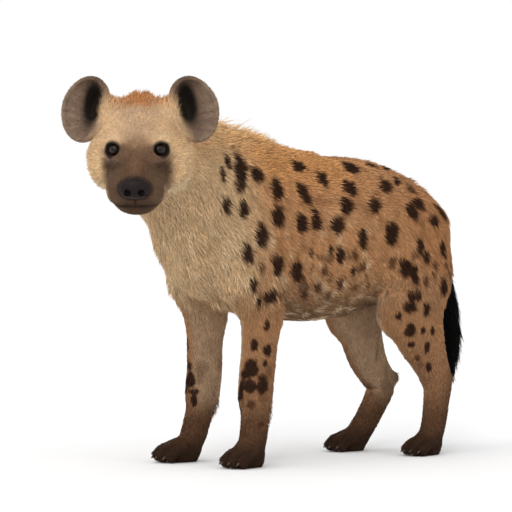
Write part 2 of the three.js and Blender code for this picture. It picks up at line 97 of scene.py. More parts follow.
def linear(red: float, green: float, blue: float) -> Array:
    """A colour given in 0 to 255 display values, as linear light."""
    c = np.array([red, green, blue], float) / 255.0
    return np.where(c <= 0.04045, c / 12.92, ((c + 0.055) / 1.055) ** 2.4)


def smooth_min(a: Array, b: Array, k: float) -> Array:
    """The lesser of two distances, rounded where they meet."""
    if k <= 0:
        return np.minimum(a, b)
    h = np.maximum(k - np.abs(a - b), 0.0) / k
    return np.minimum(a, b) - h * h * k * 0.25


def smooth_max(a: Array, b: Array, k: float) -> Array:
    """The greater of two distances, rounded where they meet."""
    return -smooth_min(-a, -b, k)


def ellipsoid(a: Array, b: Array, c: Array, ra: Array, rb: Array, rc: Array) -> Array:
    """Distance to an ellipsoid, near enough close to its surface."""
    xa, xb, xc = a / ra, b / rb, c / rc
    k0 = np.sqrt(xa * xa + xb * xb + xc * xc) + 1e-6
    k1 = np.sqrt((xa / ra) ** 2 + (xb / rb) ** 2 + (xc / rc) ** 2) + 1e-9
    return k0 * (k0 - 1.0) / k1


def lattice_noise(p: Array, size: float, seed: int) -> Array:
    """Smooth noise from -1 to 1, whose features are about size across."""
    q = p / size
    base = np.floor(q).astype(np.int64)
    f = q - base
    f = f * f * (3.0 - 2.0 * f)
    total = np.zeros(len(p))
    for corner in np.ndindex(2, 2, 2):
        cell = base + np.array(corner)
        code = cell[:, 0] * 73856093 ^ cell[:, 1] * 19349663 ^ cell[:, 2] * 83492791 ^ seed * 2654435
        code = (code ^ (code >> 13)) * 1274126177 & 0x7FFFFFFF
        value = (code ^ (code >> 16)) % 65536 / 32768.0 - 1.0
        weight = np.prod(np.where(np.array(corner) == 1, f, 1.0 - f), axis=1)
        total += value * weight
    return total


def refine(stations: Array, pieces: int = 3) -> Array:
    """Points between the stated stations, on a smooth curve through them."""
    st = np.array(stations, float)
    if len(st) < 3:
        return st
    p = np.vstack([2 * st[0] - st[1], st, 2 * st[-1] - st[-2]])
    out = []
    for i in range(1, len(p) - 2):
        a, b, c, d = p[i - 1 : i + 3]
        for j in range(pieces):
            t = j / pieces
            cubic = (3 * b - a - 3 * c + d) * t**3
            out.append(0.5 * (2 * b + (c - a) * t + (2 * a - 5 * b + 4 * c - d) * t * t + cubic))
    out.append(st[-1])
    return np.array(out)


class Segment:
    """A stretch of body between two oval sections."""

    def __init__(self, a: Array, b: Array, up: Row, cap: float) -> None:
        """Args: a and b are [x, y, z, half width, half height]; cap rounds the ends."""
        self.start = np.asarray(a[:3], float)
        line = np.asarray(b[:3], float) - self.start
        self.length = float(np.linalg.norm(line))
        along = line / self.length
        side = unit(np.cross(np.asarray(up, float), along))
        self.axes = np.stack([side, np.cross(along, side), along], 1)
        self.width = (float(a[3]), float(b[3] - a[3]))
        self.height = (float(a[4]), float(b[4] - a[4]))
        self.cap = cap
        reach = max(a[3], a[4], b[3], b[4]) + REACH
        self.low = np.minimum(a[:3], b[:3]) - reach
        self.high = np.maximum(a[:3], b[:3]) + reach

    def distance(self, p: Array) -> Array:
        """Distance of each point from the surface, negative inside."""
        q = (p - self.start) @ self.axes
        t = np.clip(q[:, 2] / self.length, 0.0, 1.0)
        w = self.width[0] + self.width[1] * t
        h = self.height[0] + self.height[1] * t
        over = q[:, 2] - t * self.length
        return ellipsoid(q[:, 0], q[:, 1], over, w, h, np.minimum(w, h) * self.cap)


class Blob:
    """An ellipsoid along the axes of its own frame."""

    def __init__(self, at: Row, size: Row) -> None:
        """Args: at is the middle and size the three half widths."""
        self.at = np.array(at, float)
        self.size = size
        reach = max(size) + REACH
        self.low = self.at - reach
        self.high = self.at + reach

    def distance(self, p: Array) -> Array:
        """Distance of each point from the surface, negative inside."""
        q = p - self.at
        return ellipsoid(q[:, 0], q[:, 1], q[:, 2], *self.size)


def chain(stations: list[Row], up: Row = (0, 0, 1), cap: float = 0.8) -> list[Segment]:
    """Segments along a smooth curve through the stations."""
    points = refine(stations)
    return [Segment(a, b, up, cap) for a, b in zip(points, points[1:])]


def nearest(forms: list, p: Array) -> Array:
    """Distance to the nearest of the forms, or REACH where all are far."""
    d = np.full(len(p), REACH)
    for form in forms:
        near = np.nonzero(np.all((p > form.low) & (p < form.high), axis=1))[0]
        if len(near):
            d[near] = np.minimum(d[near], form.distance(p[near]))
    return d


@dataclass
class HeadForm:
    """The head, in its own axes: x forward, y to the animal's left, z up, from between the eyes."""

    at: Row = (150, -624, 759)
    turn: float = 48.5
    nod: float = 24.0
    eye_at: Row = (5, 49.5, 2)
    eye_radius: float = 16.0
    eye_looks: Row = (0.88, 0.33, 0.3)
    gaze: Row = (0.90, 0.14, 0.38)
    opening_ahead: float = 14.0
    opening: Row = (18, 16.5, 13.5)
    lid: float = 2.6
    ear_root: tuple = ((-92, 54, 42, 34, 40), (-120, 90, 48, 24, 38))
    ear_at: Row = (-98, 130, 60)
    ear_faces: Row = (0.86, 0.30, 0.40)
    ear_tilt: float = 12.0
    ear_outer: Row = (35, 59.5, 79.5)
    ear_inner: Row = (25.5, 48, 68)
    ear_backs: Row = (12, -2)
    ear_rim: float = 6.0
    ear_lean: float = 6.0
    pit_at: Row = (-8, -14, 10)
    pit: Row = (24, 17, 36)
    nose_at: Row = (110, 0, -50)
    nose: Row = (18, 34, 24)
    # each form: chain or blob, blend with those before it, depth of coat
    forms: tuple = (
        ("blob", (-72, 0, 20), (92, 82, 74), 0, 5),
        ("chain", ((-40, 0, 8, 74, 56), (10, 0, -20, 66, 43), (60, 0, -46, 58, 42),
                   (92, 0, -57, 47, 38)), 30, 1.5),
        ("blob", (-60, 73, -50), (66, 51, 74), 34, 6),
        ("blob", (-36, 0, 50), (56, 60, 44), 30, 5),
        ("chain", ((-76, 0, -78, 88, 60), (0, 0, -92, 70, 38), (76, 0, -105, 47, 28)), 20, 3),
        ("blob", (50, 39, -73), (56, 33, 36), 18, 1.5),
        ("blob", (-18, 66, -16), (34, 22, 20), 16, 2.5),
        ("blob", (-12, 50, 18), (24, 26, 13), 10, 2.5),
    )
    root_blend: float = 14.0
    root_coat: float = 3.0
    ear_coat: float = 1.5
    lid_blend: float = 9.0
    opening_bow: float = 0.008
    pad_sunk: float = 3.0

    def __post_init__(self) -> None:
        """Works out the axes of the head and ear, and the forms."""
        a, e = math.radians(self.turn), math.radians(self.nod)
        forward = np.array([math.sin(a) * math.cos(e), -math.cos(a) * math.cos(e), -math.sin(e)])
        up = np.array([math.sin(a) * math.sin(e), -math.cos(a) * math.sin(e), math.cos(e)])
        self.axes = np.stack([forward, np.cross(up, forward), up], 1)
        self.built = []
        for kind, *rest in self.forms:
            if kind == "chain":
                stations, blend, depth = rest
                self.built.append((chain(list(stations), cap=0.75), blend, depth))
            else:
                at, size, blend, depth = rest
                self.built.append(([Blob(at, size)], blend, depth))
        self.root = chain(list(self.ear_root))
        faces = unit(self.ear_faces)
        side = unit(np.cross(np.cross(faces, [0, 1, 0]), faces))
        rise = np.cross(faces, side)
        rise = rise if rise[2] > 0 else -rise
        c, s = math.cos(math.radians(self.ear_tilt)), math.sin(math.radians(self.ear_tilt))
        self.ear_axes = np.stack([faces, unit(side * c + rise * s), unit(rise * c - side * s)], 1)
        self.looks = unit(self.eye_looks)
        across = unit(np.cross([0, 0, 1], self.looks))
        self.eye_axes = np.stack([self.looks, across, np.cross(self.looks, across)], 1)

    def local(self, p: Array) -> Array:
        """Points of the body frame in the head's own axes."""
        return (p - np.array(self.at, float)) @ self.axes

    def folded(self, p: Array) -> Array:
        """Points of the body frame in the head's own axes, folded to its left side."""
        q = self.local(p)
        q[:, 1] = np.abs(q[:, 1])
        return q

    def eye_reach(self, x: Array, y: Array, z: Array) -> Array:
        """How far each folded point is from the middle of the eye."""
        return np.linalg.norm(np.stack([x, y, z], 1) - np.array(self.eye_at), axis=1)

    def world(self, q: Array) -> Array:
        """Points of the head's own axes in the body frame."""
        return np.asarray(q, float) @ self.axes.T + np.array(self.at, float)

    def ear_local(self, q: Array) -> Array:
        """Points of the head, folded to its left side, in the ear's axes: out of its face, out, up."""
        return (q - np.array(self.ear_at, float)) @ self.ear_axes

    def ear_distance(self, q: Array) -> Array:
        """Distance to the shell of the ear."""
        n, o, u = self.ear_local(q).T
        o = o + self.ear_lean * ramp(u, 0, self.ear_outer[2])
        outer = ellipsoid(n + self.ear_backs[0], o, u, *self.ear_outer)
        inner = ellipsoid(n + self.ear_backs[1], o + 1, u, *self.ear_inner)
        shell = smooth_max(smooth_max(outer, -inner, 3), n - self.ear_rim + 0.1 * np.abs(o), 4)
        return smooth_max(shell, -self.pit_distance(n, o, u), 5)

    def pit_distance(self, n: Array, o: Array, u: Array) -> Array:
        """Distance to the deep hollow beside the root of the ear."""
        return ellipsoid(n - self.pit_at[0], o - self.pit_at[1], u - self.pit_at[2], *self.pit)

    def distance(self, p: Array, skin: bool) -> tuple[Array, Array]:
        """How far each point is from the head and from its ears.

        Args:
            p: points of the body frame, in mm.
            skin: leaves off the depth of the coat, and opens the eyelids and the bed of the nose.

        Returns:
            The distances to the head and to the ears, negative inside.
        """
        q = self.folded(p)
        d = np.full(len(q), REACH)
        for forms, blend, depth in self.built:
            d = smooth_min(d, nearest(forms, q) + depth * skin, blend)
        n, o, u = self.ear_local(q).T
        root = nearest(self.root, q) + self.root_coat * skin
        root = smooth_max(root, -self.pit_distance(n, o, u), 6)
        d = smooth_min(d, root, self.root_blend)
        eye = q - np.array(self.eye_at)
        if skin:
            ball = np.linalg.norm(eye, axis=1) - self.eye_radius - self.lid
            d = smooth_min(d, ball, self.lid_blend)
            e = (eye - self.looks * self.opening_ahead) @ self.eye_axes
            bowed = e[:, 2] + self.opening_bow * e[:, 1] ** 2
            almond = ellipsoid(e[:, 0], e[:, 1], bowed, *self.opening)
            d = smooth_max(d, -almond, 2.0)
            size = np.array(self.nose) - self.pad_sunk
            pad = ellipsoid(*(q - np.array(self.nose_at)).T, *size)
            d = smooth_max(d, -pad, 1.0)
        return d, self.ear_distance(q) + self.ear_coat * skin


class Paw:
    """A paw with four toes, in its own axes: forward, outward, up."""

    palm = (Blob((-8, 0, 26), (46, 34, 36)), Blob((-34, 0, 20), (20, 25, 28)))
    middle = ((0, 10.5, 38, 15, 15), (32, 11.5, 33, 14.5, 15), (50, 11.5, 15, 12.5, 18))
    outer = ((-6, 27, 34, 14, 14), (20, 30, 28, 14, 14), (38, 30, 14, 12, 17.5))
    reach = 190.0
    toe_blend = 3.0
    palm_blend = 7.0

    def __init__(self, x: float, y: float, turn: float, side: int, size: float) -> None:
        """Args: turn is outward in degrees, side 1 for the left, size a scale."""
        a = math.radians(turn) * side
        self.at = np.array([x, y, 0.0])
        self.axes = np.stack(
            [[math.sin(a), -math.cos(a), 0], [math.cos(a), math.sin(a), 0], [0, 0, 1]], 1
        )
        self.size = size
        self.toes = (chain(list(self.middle)), chain(list(self.outer)))
        self.low = self.at - self.reach
        self.high = self.at + self.reach

    def local(self, p: Array) -> Array:
        """Points of the body frame in the paw's axes."""
        return (p - self.at) @ self.axes / self.size

    def world(self, q: Array) -> Array:
        """Points of the paw's axes in the body frame."""
        return np.asarray(q, float) * self.size @ self.axes.T + self.at

    def distance(self, p: Array) -> Array:
        """Distance of each point from the surface, negative inside."""
        q = self.local(p)
        q[:, 1] = np.abs(q[:, 1])
        toes = smooth_min(nearest(self.toes[0], q), nearest(self.toes[1], q), self.toe_blend)
        return smooth_min(nearest(list(self.palm), q), toes, self.palm_blend) * self.size


def part_weights(parts: Array, softness: float = 21.0) -> Array:
    """How much each point belongs to each Part, adding up to one; parts out of reach get nothing."""
    nearest_part = np.minimum(parts.min(0), REACH - 1.0)
    weight = np.exp(-(parts - nearest_part) / softness) - np.exp(-(REACH - nearest_part) / softness)
    weight = np.maximum(weight, 0.0)
    return weight / np.maximum(weight.sum(0), 1e-9)


class Part(Enum):
    """The parts of the body that the coat is described by."""

    TRUNK = 0
    NECK = 1
    TAIL = 2
    FORE_LEFT = 3
    FORE_RIGHT = 4
    HIND_LEFT = 5
    HIND_RIGHT = 6
    HEAD = 7
    EAR = 8


@dataclass
class BodyForm:
    """The whole animal: stations are (x, y, z, half width, half height)."""

    trunk: tuple = (
        (0, -330, 508, 98, 120), (0, -240, 570, 122, 192), (0, -140, 558, 132, 200),
        (0, -20, 546, 140, 204), (0, 100, 548, 138, 199), (0, 200, 558, 128, 180),
        (0, 300, 558, 112, 140), (0, 379, 538, 90, 105),
    )
    neck: tuple = (
        (0, -215, 600, 116, 168), (6, -330, 656, 116, 150), (30, -440, 710, 110, 124),
        (58, -530, 768, 98, 108),
    )
    crest: tuple = (
        (70, -525, 862, 26, 30), (42, -440, 852, 24, 34), (12, -330, 820, 22, 38),
        (0, -215, 787, 22, 38), (0, -100, 755, 22, 28), (0, 10, 740, 22, 20),
    )
    tail: tuple = (
        (0, 416, 588, 34, 36), (0, 450, 540, 27, 28), (0, 463, 470, 24, 24),
        (0, 470, 390, 29, 28), (0, 474, 310, 33, 31), (0, 474, 240, 27, 25),
        (0, 472, 190, 13, 13),
    )
    foreleg: dict = field(default_factory=lambda: {
        1: ((66, -190, 650, 46, 72), (84, -262, 500, 58, 84), (98, -216, 385, 49, 63),
            (100, -219, 300, 39, 47), (100, -227, 225, 38, 45), (101, -233, 168, 37, 44),
            (102, -235, 125, 33, 35), (103, -241, 70, 33, 34), (104, -253, 40, 34, 35)),
        -1: ((-66, -190, 650, 46, 72), (-84, -264, 500, 58, 85), (-99, -226, 385, 50, 66),
             (-102, -226, 300, 39, 48), (-104, -226, 225, 37, 46), (-107, -230, 168, 36, 46),
             (-110, -238, 122, 32, 35), (-114, -251, 70, 32, 33), (-117, -262, 38, 31, 31)),
    })
    hindleg: dict = field(default_factory=lambda: {
        1: ((62, 312, 588, 58, 92), (86, 292, 470, 64, 115), (98, 281, 362, 55, 87),
            (101, 298, 298, 45, 72), (103, 324, 244, 38, 53), (105, 340, 208, 35, 45),
            (105, 352, 172, 33, 38), (105, 348, 125, 30, 34), (105, 338, 70, 30, 31),
            (105, 326, 38, 32, 32)),
        -1: ((-62, 312, 588, 58, 92), (-86, 292, 470, 64, 112), (-98, 258, 358, 55, 77),
             (-101, 277, 298, 45, 61), (-104, 299, 242, 39, 53), (-106, 323, 205, 34, 47),
             (-107, 349, 170, 33, 41), (-108, 336, 128, 30, 35), (-109, 303, 76, 30, 32),
             (-110, 276, 42, 32, 32)),
    })
    heel: dict = field(default_factory=lambda: {
        1: ((105, 354, 186, 19, 21), (105, 386, 190, 12, 14)),
        -1: ((-107, 358, 180, 19, 21), (-107, 399, 183, 12, 14)),
    })
    knee: dict = field(default_factory=lambda: {1: (99, 212, 352), -1: (-99, 217, 350)})
    knee_size: Row = (40, 40, 46)
    forepaw: dict = field(default_factory=lambda: {1: (105, -268, 4), -1: (-124, -292, 14)})
    hindpaw: dict = field(default_factory=lambda: {1: (106, 306, 4), -1: (-111, 240, 8)})
    hindpaw_size: float = 0.94
    coat_trunk: float = 4.6
    coat_neck: float = 6.0
    coat_crest: float = 24.0
    coat_tail: float = 9.0
    coat_leg: float = 1.8
    coat_thigh: float = 4.0
    coat_paw: float = 1.6
    blend_crest: float = 20.0
    blend_knee: float = 40.0
    blend_heel: float = 16.0
    blend_paw: float = 14.0
    blend_neck: float = 60.0
    blend_tail: float = 18.0
    blend_leg: float = 34.0
    blend_head: float = 36.0
    blend_ear: float = 6.0
    ground: float = 0.4
    head_low: Row = (-220, -914, 400)
    head_high: Row = (440, -254, 1100)

    def __post_init__(self) -> None:
        """Builds the segments."""
        self.head = HeadForm()
        self.trunk_forms = chain(list(self.trunk), cap=0.78)
        self.neck_forms = chain(list(self.neck))
        self.crest_forms = chain(list(self.crest))
        self.tail_forms = chain(list(self.tail), up=(0, 1, 0))
        self.legs = []
        self.paws = {}
        for side in (1, -1):
            x, y, turn = self.forepaw[side]
            self.paws["fore", side] = Paw(x, y, turn, side, 1.0)
            x, y, turn = self.hindpaw[side]
            self.paws["hind", side] = Paw(x, y, turn, side, self.hindpaw_size)
        for kind, table in (("fore", self.foreleg), ("hind", self.hindleg)):
            for side in (1, -1):
                limb = chain(list(table[side]), up=(0, 1, 0))
                knee = [Blob(self.knee[side], self.knee_size)] if kind == "hind" else []
                heel = chain(list(self.heel[side])) if kind == "hind" else []
                self.legs.append((limb, knee, heel, self.paws[kind, side]))

    def parts(self, p: Array, skin: bool) -> Array:
        """How far each point is from each Part.

        Args:
            p: points of the body frame, in mm.
            skin: leaves off the depth of the coat.

        Returns:
            One row of distances for each Part, negative inside.
        """
        rows = np.full((len(Part), len(p)), REACH)
        rows[Part.TRUNK.value] = nearest(self.trunk_forms, p) + self.coat_trunk * skin
        neck = nearest(self.neck_forms, p) + self.coat_neck * skin
        crest = nearest(self.crest_forms, p) + self.coat_crest * skin
        rows[Part.NECK.value] = smooth_min(neck, crest, self.blend_crest)
        rows[Part.TAIL.value] = nearest(self.tail_forms, p) + self.coat_tail * skin
        for row, (limb, knee, heel, paw) in zip(range(3, 7), self.legs):
            d = nearest(limb, p)
            if knee:
                d = smooth_min(d, nearest(knee, p), self.blend_knee)
                d = smooth_min(d, nearest(heel, p), self.blend_heel)
            if skin:
                d = d + self.coat_leg + (self.coat_thigh - self.coat_leg) * ramp(p[:, 2], 250, 420)
            rows[row] = smooth_min(d, nearest([paw], p) + self.coat_paw * skin, self.blend_paw)
        about_head = (p > np.array(self.head_low)) & (p < np.array(self.head_high))
        i = np.nonzero(np.all(about_head, axis=1))[0]
        if len(i):
            head, ear = self.head.distance(p[i], skin)
            rows[Part.HEAD.value, i] = np.minimum(head, REACH)
            rows[Part.EAR.value, i] = np.minimum(ear, REACH)
        return rows

    def distance(self, p: Array, skin: bool = True) -> Array:
        """Distance of each point from the surface, negative inside."""
        rows = self.parts(p, skin)
        d = smooth_min(rows[Part.TRUNK.value], rows[Part.NECK.value], self.blend_neck)
        d = smooth_min(d, rows[Part.TAIL.value], self.blend_tail)
        for row in range(3, 7):
            d = smooth_min(d, rows[row], self.blend_leg)
        d = smooth_min(d, rows[Part.HEAD.value], self.blend_head)
        d = smooth_min(d, rows[Part.EAR.value], self.blend_ear)
        return smooth_max(d, self.ground - p[:, 2], 1.0)


def slope(form, p: Array, step: float = 0.5) -> Array:
    """The direction in which the distance grows, at each point."""
    corners = np.array([(1, -1, -1), (-1, -1, 1), (-1, 1, -1), (1, 1, 1)], float)
    return sum(k * form(p + k * step)[:, None] for k in corners) / (4 * step)


def settle(form, p: Array, rounds: int, limit: float) -> Array:
    """Moves points straight onto the surface of the form."""
    for _ in range(rounds):
        g = slope(form, p)
        size = np.maximum((g * g).sum(1), 0.25)
        p = p - np.clip(form(p), -limit, limit)[:, None] * g / size[:, None]
    return p


def graded(*zones: tuple[float, float]) -> Array:
    """Coordinates with a step of their own in each zone. Args: zones are (start, step), the last (end, 0)."""
    out = [zones[0][0]]
    for (_, step), (end, _) in zip(zones, zones[1:]):
        while out[-1] < end - 1e-6:
            out.append(out[-1] + step)
    while (len(out) - 1) % 4:
        out.append(out[-1] + zones[-2][1])
    return np.array(out)


class NetMesher:
    """Turns a form into a closed mesh of quads on a graded grid."""

    block = 4
    batch = 60000
    margin = 0.78

    def __init__(self, form, axes: tuple[Array, Array, Array]) -> None:
        """Args: form gives distances of points; axes are the grid's coordinates."""
        self.form = form
        self.axes = axes

    def sample(self) -> Array:
        """Distances on the grid, worked out only near the surface."""
        n = [len(a) for a in self.axes]
        coarse = [a[:: self.block] for a in self.axes]
        corners = np.stack(np.meshgrid(*coarse, indexing="ij"), -1).reshape(-1, 3)
        far = self.form(corners).reshape([len(a) for a in coarse])
        spans = np.meshgrid(*[np.diff(a) for a in coarse], indexing="ij")
        reach = np.sqrt(sum(s * s for s in spans)) * self.margin
        low = np.full(reach.shape, np.inf)
        high = -low
        for o in np.ndindex(2, 2, 2):
            s = tuple(slice(i, m - 1 + i) for i, m in zip(o, far.shape))
            low = np.minimum(low, far[s])
            high = np.maximum(high, far[s])
        wanted = (low < reach) & (high > -reach)
        full = np.full(n, REACH)
        full[:, :, :] = self._spread(far)[: n[0], : n[1], : n[2]]
        need = np.zeros(n, bool)
        fine = self._spread(wanted)
        for o in np.ndindex(2, 2, 2):
            s = tuple(slice(i, m - 1 + i) for i, m in zip(o, n))
            need[s] |= fine
        i, j, k = np.nonzero(need)
        points = np.stack([self.axes[0][i], self.axes[1][j], self.axes[2][k]], 1)
        values = np.empty(len(points))
        for start in range(0, len(points), self.batch):
            some = slice(start, start + self.batch)
            values[some] = self.form(points[some])
        full[i, j, k] = values
        return full

    def _spread(self, coarse: Array) -> Array:
        """Each value of the coarse grid, repeated over its block of the fine one."""
        for axis in range(3):
            coarse = np.repeat(coarse, self.block, axis)
        return coarse

    def quads(self) -> tuple[Array, Array]:
        """Makes the mesh: one point for each cell that the surface crosses.

        Returns:
            The points, and the quads that join them and face out.
        """
        v = self.sample()
        inside = v < 0
        corners = list(np.ndindex(2, 2, 2))
        count = sum(
            inside[tuple(slice(i, m - 1 + i) for i, m in zip(o, v.shape))].astype(np.int8) for o in corners
        )
        cells = np.nonzero((count > 0) & (count < 8))
        number = np.full(count.shape, -1, np.int64)
        number[cells] = np.arange(len(cells[0]))
        value = {o: v[cells[0] + o[0], cells[1] + o[1], cells[2] + o[2]] for o in corners}
        total = np.zeros((len(cells[0]), 3))
        hits = np.zeros(len(cells[0]))
        for o in corners:
            for axis in range(3):
                if o[axis]:
                    continue
                other = tuple(1 if a == axis else b for a, b in enumerate(o))
                a, b = value[o], value[other]
                cross = (a < 0) != (b < 0)
                t = np.where(cross, a / np.where(cross, a - b, 1.0), 0.0)
                at = np.tile(np.array(o, float), (len(t), 1))
                at[:, axis] += t
                total[cross] += at[cross]
                hits[cross] += 1
        inner = total / hits[:, None]
        verts = np.empty_like(inner)
        for axis in range(3):
            grid = self.axes[axis]
            start = grid[cells[axis]]
            verts[:, axis] = start + inner[:, axis] * (grid[cells[axis] + 1] - start)
        faces = []
        for axis in range(3):
            first = tuple(slice(0, m - (a == axis)) for a, m in enumerate(v.shape))
            second = tuple(slice(int(a == axis), m) for a, m in enumerate(v.shape))
            edge = np.nonzero(inside[first] != inside[second])
            b, c = (axis + 1) % 3, (axis + 2) % 3
            ok = (edge[b] > 0) & (edge[b] < v.shape[b] - 1) & (edge[c] > 0) & (edge[c] < v.shape[c] - 1)
            edge = tuple(e[ok] for e in edge)
            outward = inside[edge]
            ring = []
            for db, dc in ((-1, -1), (0, -1), (0, 0), (-1, 0)):
                at = [e.copy() for e in edge]
                at[b] += db
                at[c] += dc
                ring.append(number[tuple(at)])
            q = np.stack(ring, 1)
            q[~outward] = q[~outward][:, ::-1]
            faces.append(q)
        return verts, np.concatenate(faces)


def split_quads(verts: Array, quads: Array) -> tuple[Array, Array]:
    """Each quad as four, with new points on its edges and in its middle."""
    a = quads
    b = np.roll(quads, -1, 1)
    low, high = np.minimum(a, b).ravel(), np.maximum(a, b).ravel()
    key, back = np.unique(low * len(verts) + high, return_inverse=True)
    mid = (verts[key // len(verts)] + verts[key % len(verts)]) / 2
    centre = verts[quads].mean(1)
    edge = back.reshape(quads.shape) + len(verts)
    middle = np.arange(len(quads)) + len(verts) + len(mid)
    new = [np.stack([quads[:, i], edge[:, i], middle, edge[:, (i + 3) % 4]], 1) for i in range(4)]
    return np.vstack([verts, mid, centre]), np.concatenate(new)


def mesh_normals(verts: Array, quads: Array) -> Array:
    """The outward direction at each vertex."""
    n = np.cross(verts[quads[:, 2]] - verts[quads[:, 0]], verts[quads[:, 3]] - verts[quads[:, 1]])
    out = np.zeros_like(verts)
    for i in range(4):
        for axis in range(3):
            out[:, axis] += np.bincount(quads[:, i], n[:, axis], len(verts))
    return unit(out)


@dataclass(frozen=True)
class Spot:
    """A dark spot of the left flank, as read off the photograph.

    u, v are the place of its middle in pixels of the photograph's own 512 square, w, h its
    width and height there, lean its tilt in degrees to the right at the foot, and strength
    how dark it is.
    """

    u: float
    v: float
    w: float
    h: float
    lean: float = 0.0
    strength: float = 1.0


def read_spots() -> list[Spot]:
    """The spots, from the neck to the hind leg, then down the legs."""
    rows = (
        (226, 134, 6, 18, 62), (227, 161, 5, 17, 12), (222, 175, 5, 14, 8), (240, 171, 10, 36, 6),
        (256, 174, 11, 16, 20), (226, 205, 8, 16, 5), (243, 209, 9, 18, 5), (277, 190, 11, 21, 18),
        (278, 217, 12, 22, 10), (261, 236, 11, 23, 5), (247, 253, 9, 18, 5), (301, 223, 11, 18, 15),
        (304, 194, 10, 22, 28), (298, 167, 9, 15, 50), (322, 179, 8, 17, 32), (316, 221, 9, 21, 12),
        (337, 225, 13, 17, 20), (350, 168, 9, 21, 62), (350, 189, 12, 15, 45), (346, 205, 12, 15, 40),
        (374, 205, 13, 15, 30), (362, 239, 9, 20, 3), (391, 234, 13, 21, 8), (384, 186, 9, 15, 40),
        (396, 182, 6, 9, 50), (370, 166, 6, 10, 60), (385, 169, 5, 9, 60), (411, 190, 6, 10, 50),
        (412, 212, 9, 17, 12), (418, 204, 8, 14, 55), (433, 220, 8, 13, 20), (440, 212, 8, 14, 50),
        (420, 247, 7, 15, 8), (426, 259, 7, 13, 5), (442, 249, 6, 16, 3), (435, 265, 5, 10, 3),
        (340, 255, 8, 18, 5), (330, 250, 5, 9, 5), (311, 253, 6, 10, 5), (354, 254, 5, 10, 5),
        (276, 267, 9, 21, 5), (261, 268, 6, 13, 5), (296, 272, 12, 20, 8), (324, 269, 7, 12, 5),
        (353, 271, 6, 9, 5), (391, 263, 7, 12, 5), (405, 268, 12, 17, 5), (414, 274, 9, 20, 5),
        (426, 281, 7, 13, 3), (443, 288, 6, 17, 0), (253, 285, 7, 12, 5), (269, 296, 15, 14, 0),
        (279, 295, 6, 11, 5), (258, 303, 7, 10, 5), (318, 287, 6, 11, 5), (339, 283, 6, 10, 5),
        (327, 296, 6, 9, 5), (304, 295, 6, 10, 5), (411, 297, 9, 13, 5), (418, 296, 6, 11, 3),
        (410, 307, 11, 12, 0), (426, 309, 6, 12, 0), (399, 316, 6, 8, 0), (410, 330, 10, 12, 0),
        (423, 331, 5, 8, 0), (432, 331, 4, 9, 0), (411, 345, 7, 6, 0), (427, 347, 5, 10, 0),
        (417, 358, 5, 6, 0), (429, 367, 5, 8, 0), (267, 326, 5, 12, 0), (254, 346, 8, 13, 0),
        (267, 350, 8, 11, 0), (251, 368, 13, 19, 0), (250, 387, 14, 14, 0), (263, 386, 10, 20, 0),
        (239, 397, 6, 8, 0), (251, 405, 8, 8, 0), (265, 364, 5, 6, 0), (261, 425, 6, 7, 0),
        (191, 380, 7, 18, 0), (194, 400, 6, 14, 0), (187, 336, 3, 12, 0), (189, 366, 5, 9, 0),
    )
    faint = {(311, 253), (354, 254), (324, 269), (391, 263), (426, 281), (318, 287), (339, 283),
             (327, 296), (304, 295), (411, 190), (251, 405), (261, 425), (261, 268), (435, 265),
             (279, 295), (187, 336), (417, 358)}
    return [Spot(*row, strength=0.6 if row[:2] in faint else 1.0) for row in rows]


@dataclass
class PhotoCamera:
    """The camera that the photograph was taken from, in the body frame, in millimetres."""

    azimuth: float = 50.0
    distance: float = 8250.0
    height: float = 700.0
    focal_px: float = 3352.0
    centre_px: Row = (302.7, 175.0)
    frame_px: float = 512.0
    sensor_mm: float = 36.0

    def __post_init__(self) -> None:
        """Works out where the camera stands and its axes."""
        a = math.radians(self.azimuth)
        self.back = np.array([math.sin(a), -math.cos(a), 0.0])
        self.right = np.array([math.cos(a), math.sin(a), 0.0])
        self.at = self.back * self.distance + np.array([0, 0, self.height])

    def ray(self, u: float, v: float) -> Array:
        """Direction from the camera through a pixel of the photograph."""
        x = (u - self.centre_px[0]) / self.focal_px
        z = (self.centre_px[1] - v) / self.focal_px
        return unit(-self.back + self.right * x + np.array([0, 0, z]))

    def build(self, shift: Array) -> None:
        """Makes the scene's camera, aimed at the middle of the frame."""
        data = bpy.data.cameras.new("photo_camera")
        data.sensor_width = self.sensor_mm
        data.lens = self.focal_px / self.frame_px * self.sensor_mm
        data.clip_end = 60.0
        camera = bpy.data.objects.new("photo_camera", data)
        bpy.context.collection.objects.link(camera)
        camera.location = (self.at + shift) * MM
        aim = Vector(self.ray(self.frame_px / 2, self.frame_px / 2))
        camera.rotation_mode = "QUATERNION"
        camera.rotation_quaternion = aim.to_track_quat("-Z", "Y")
        bpy.context.scene.camera = camera


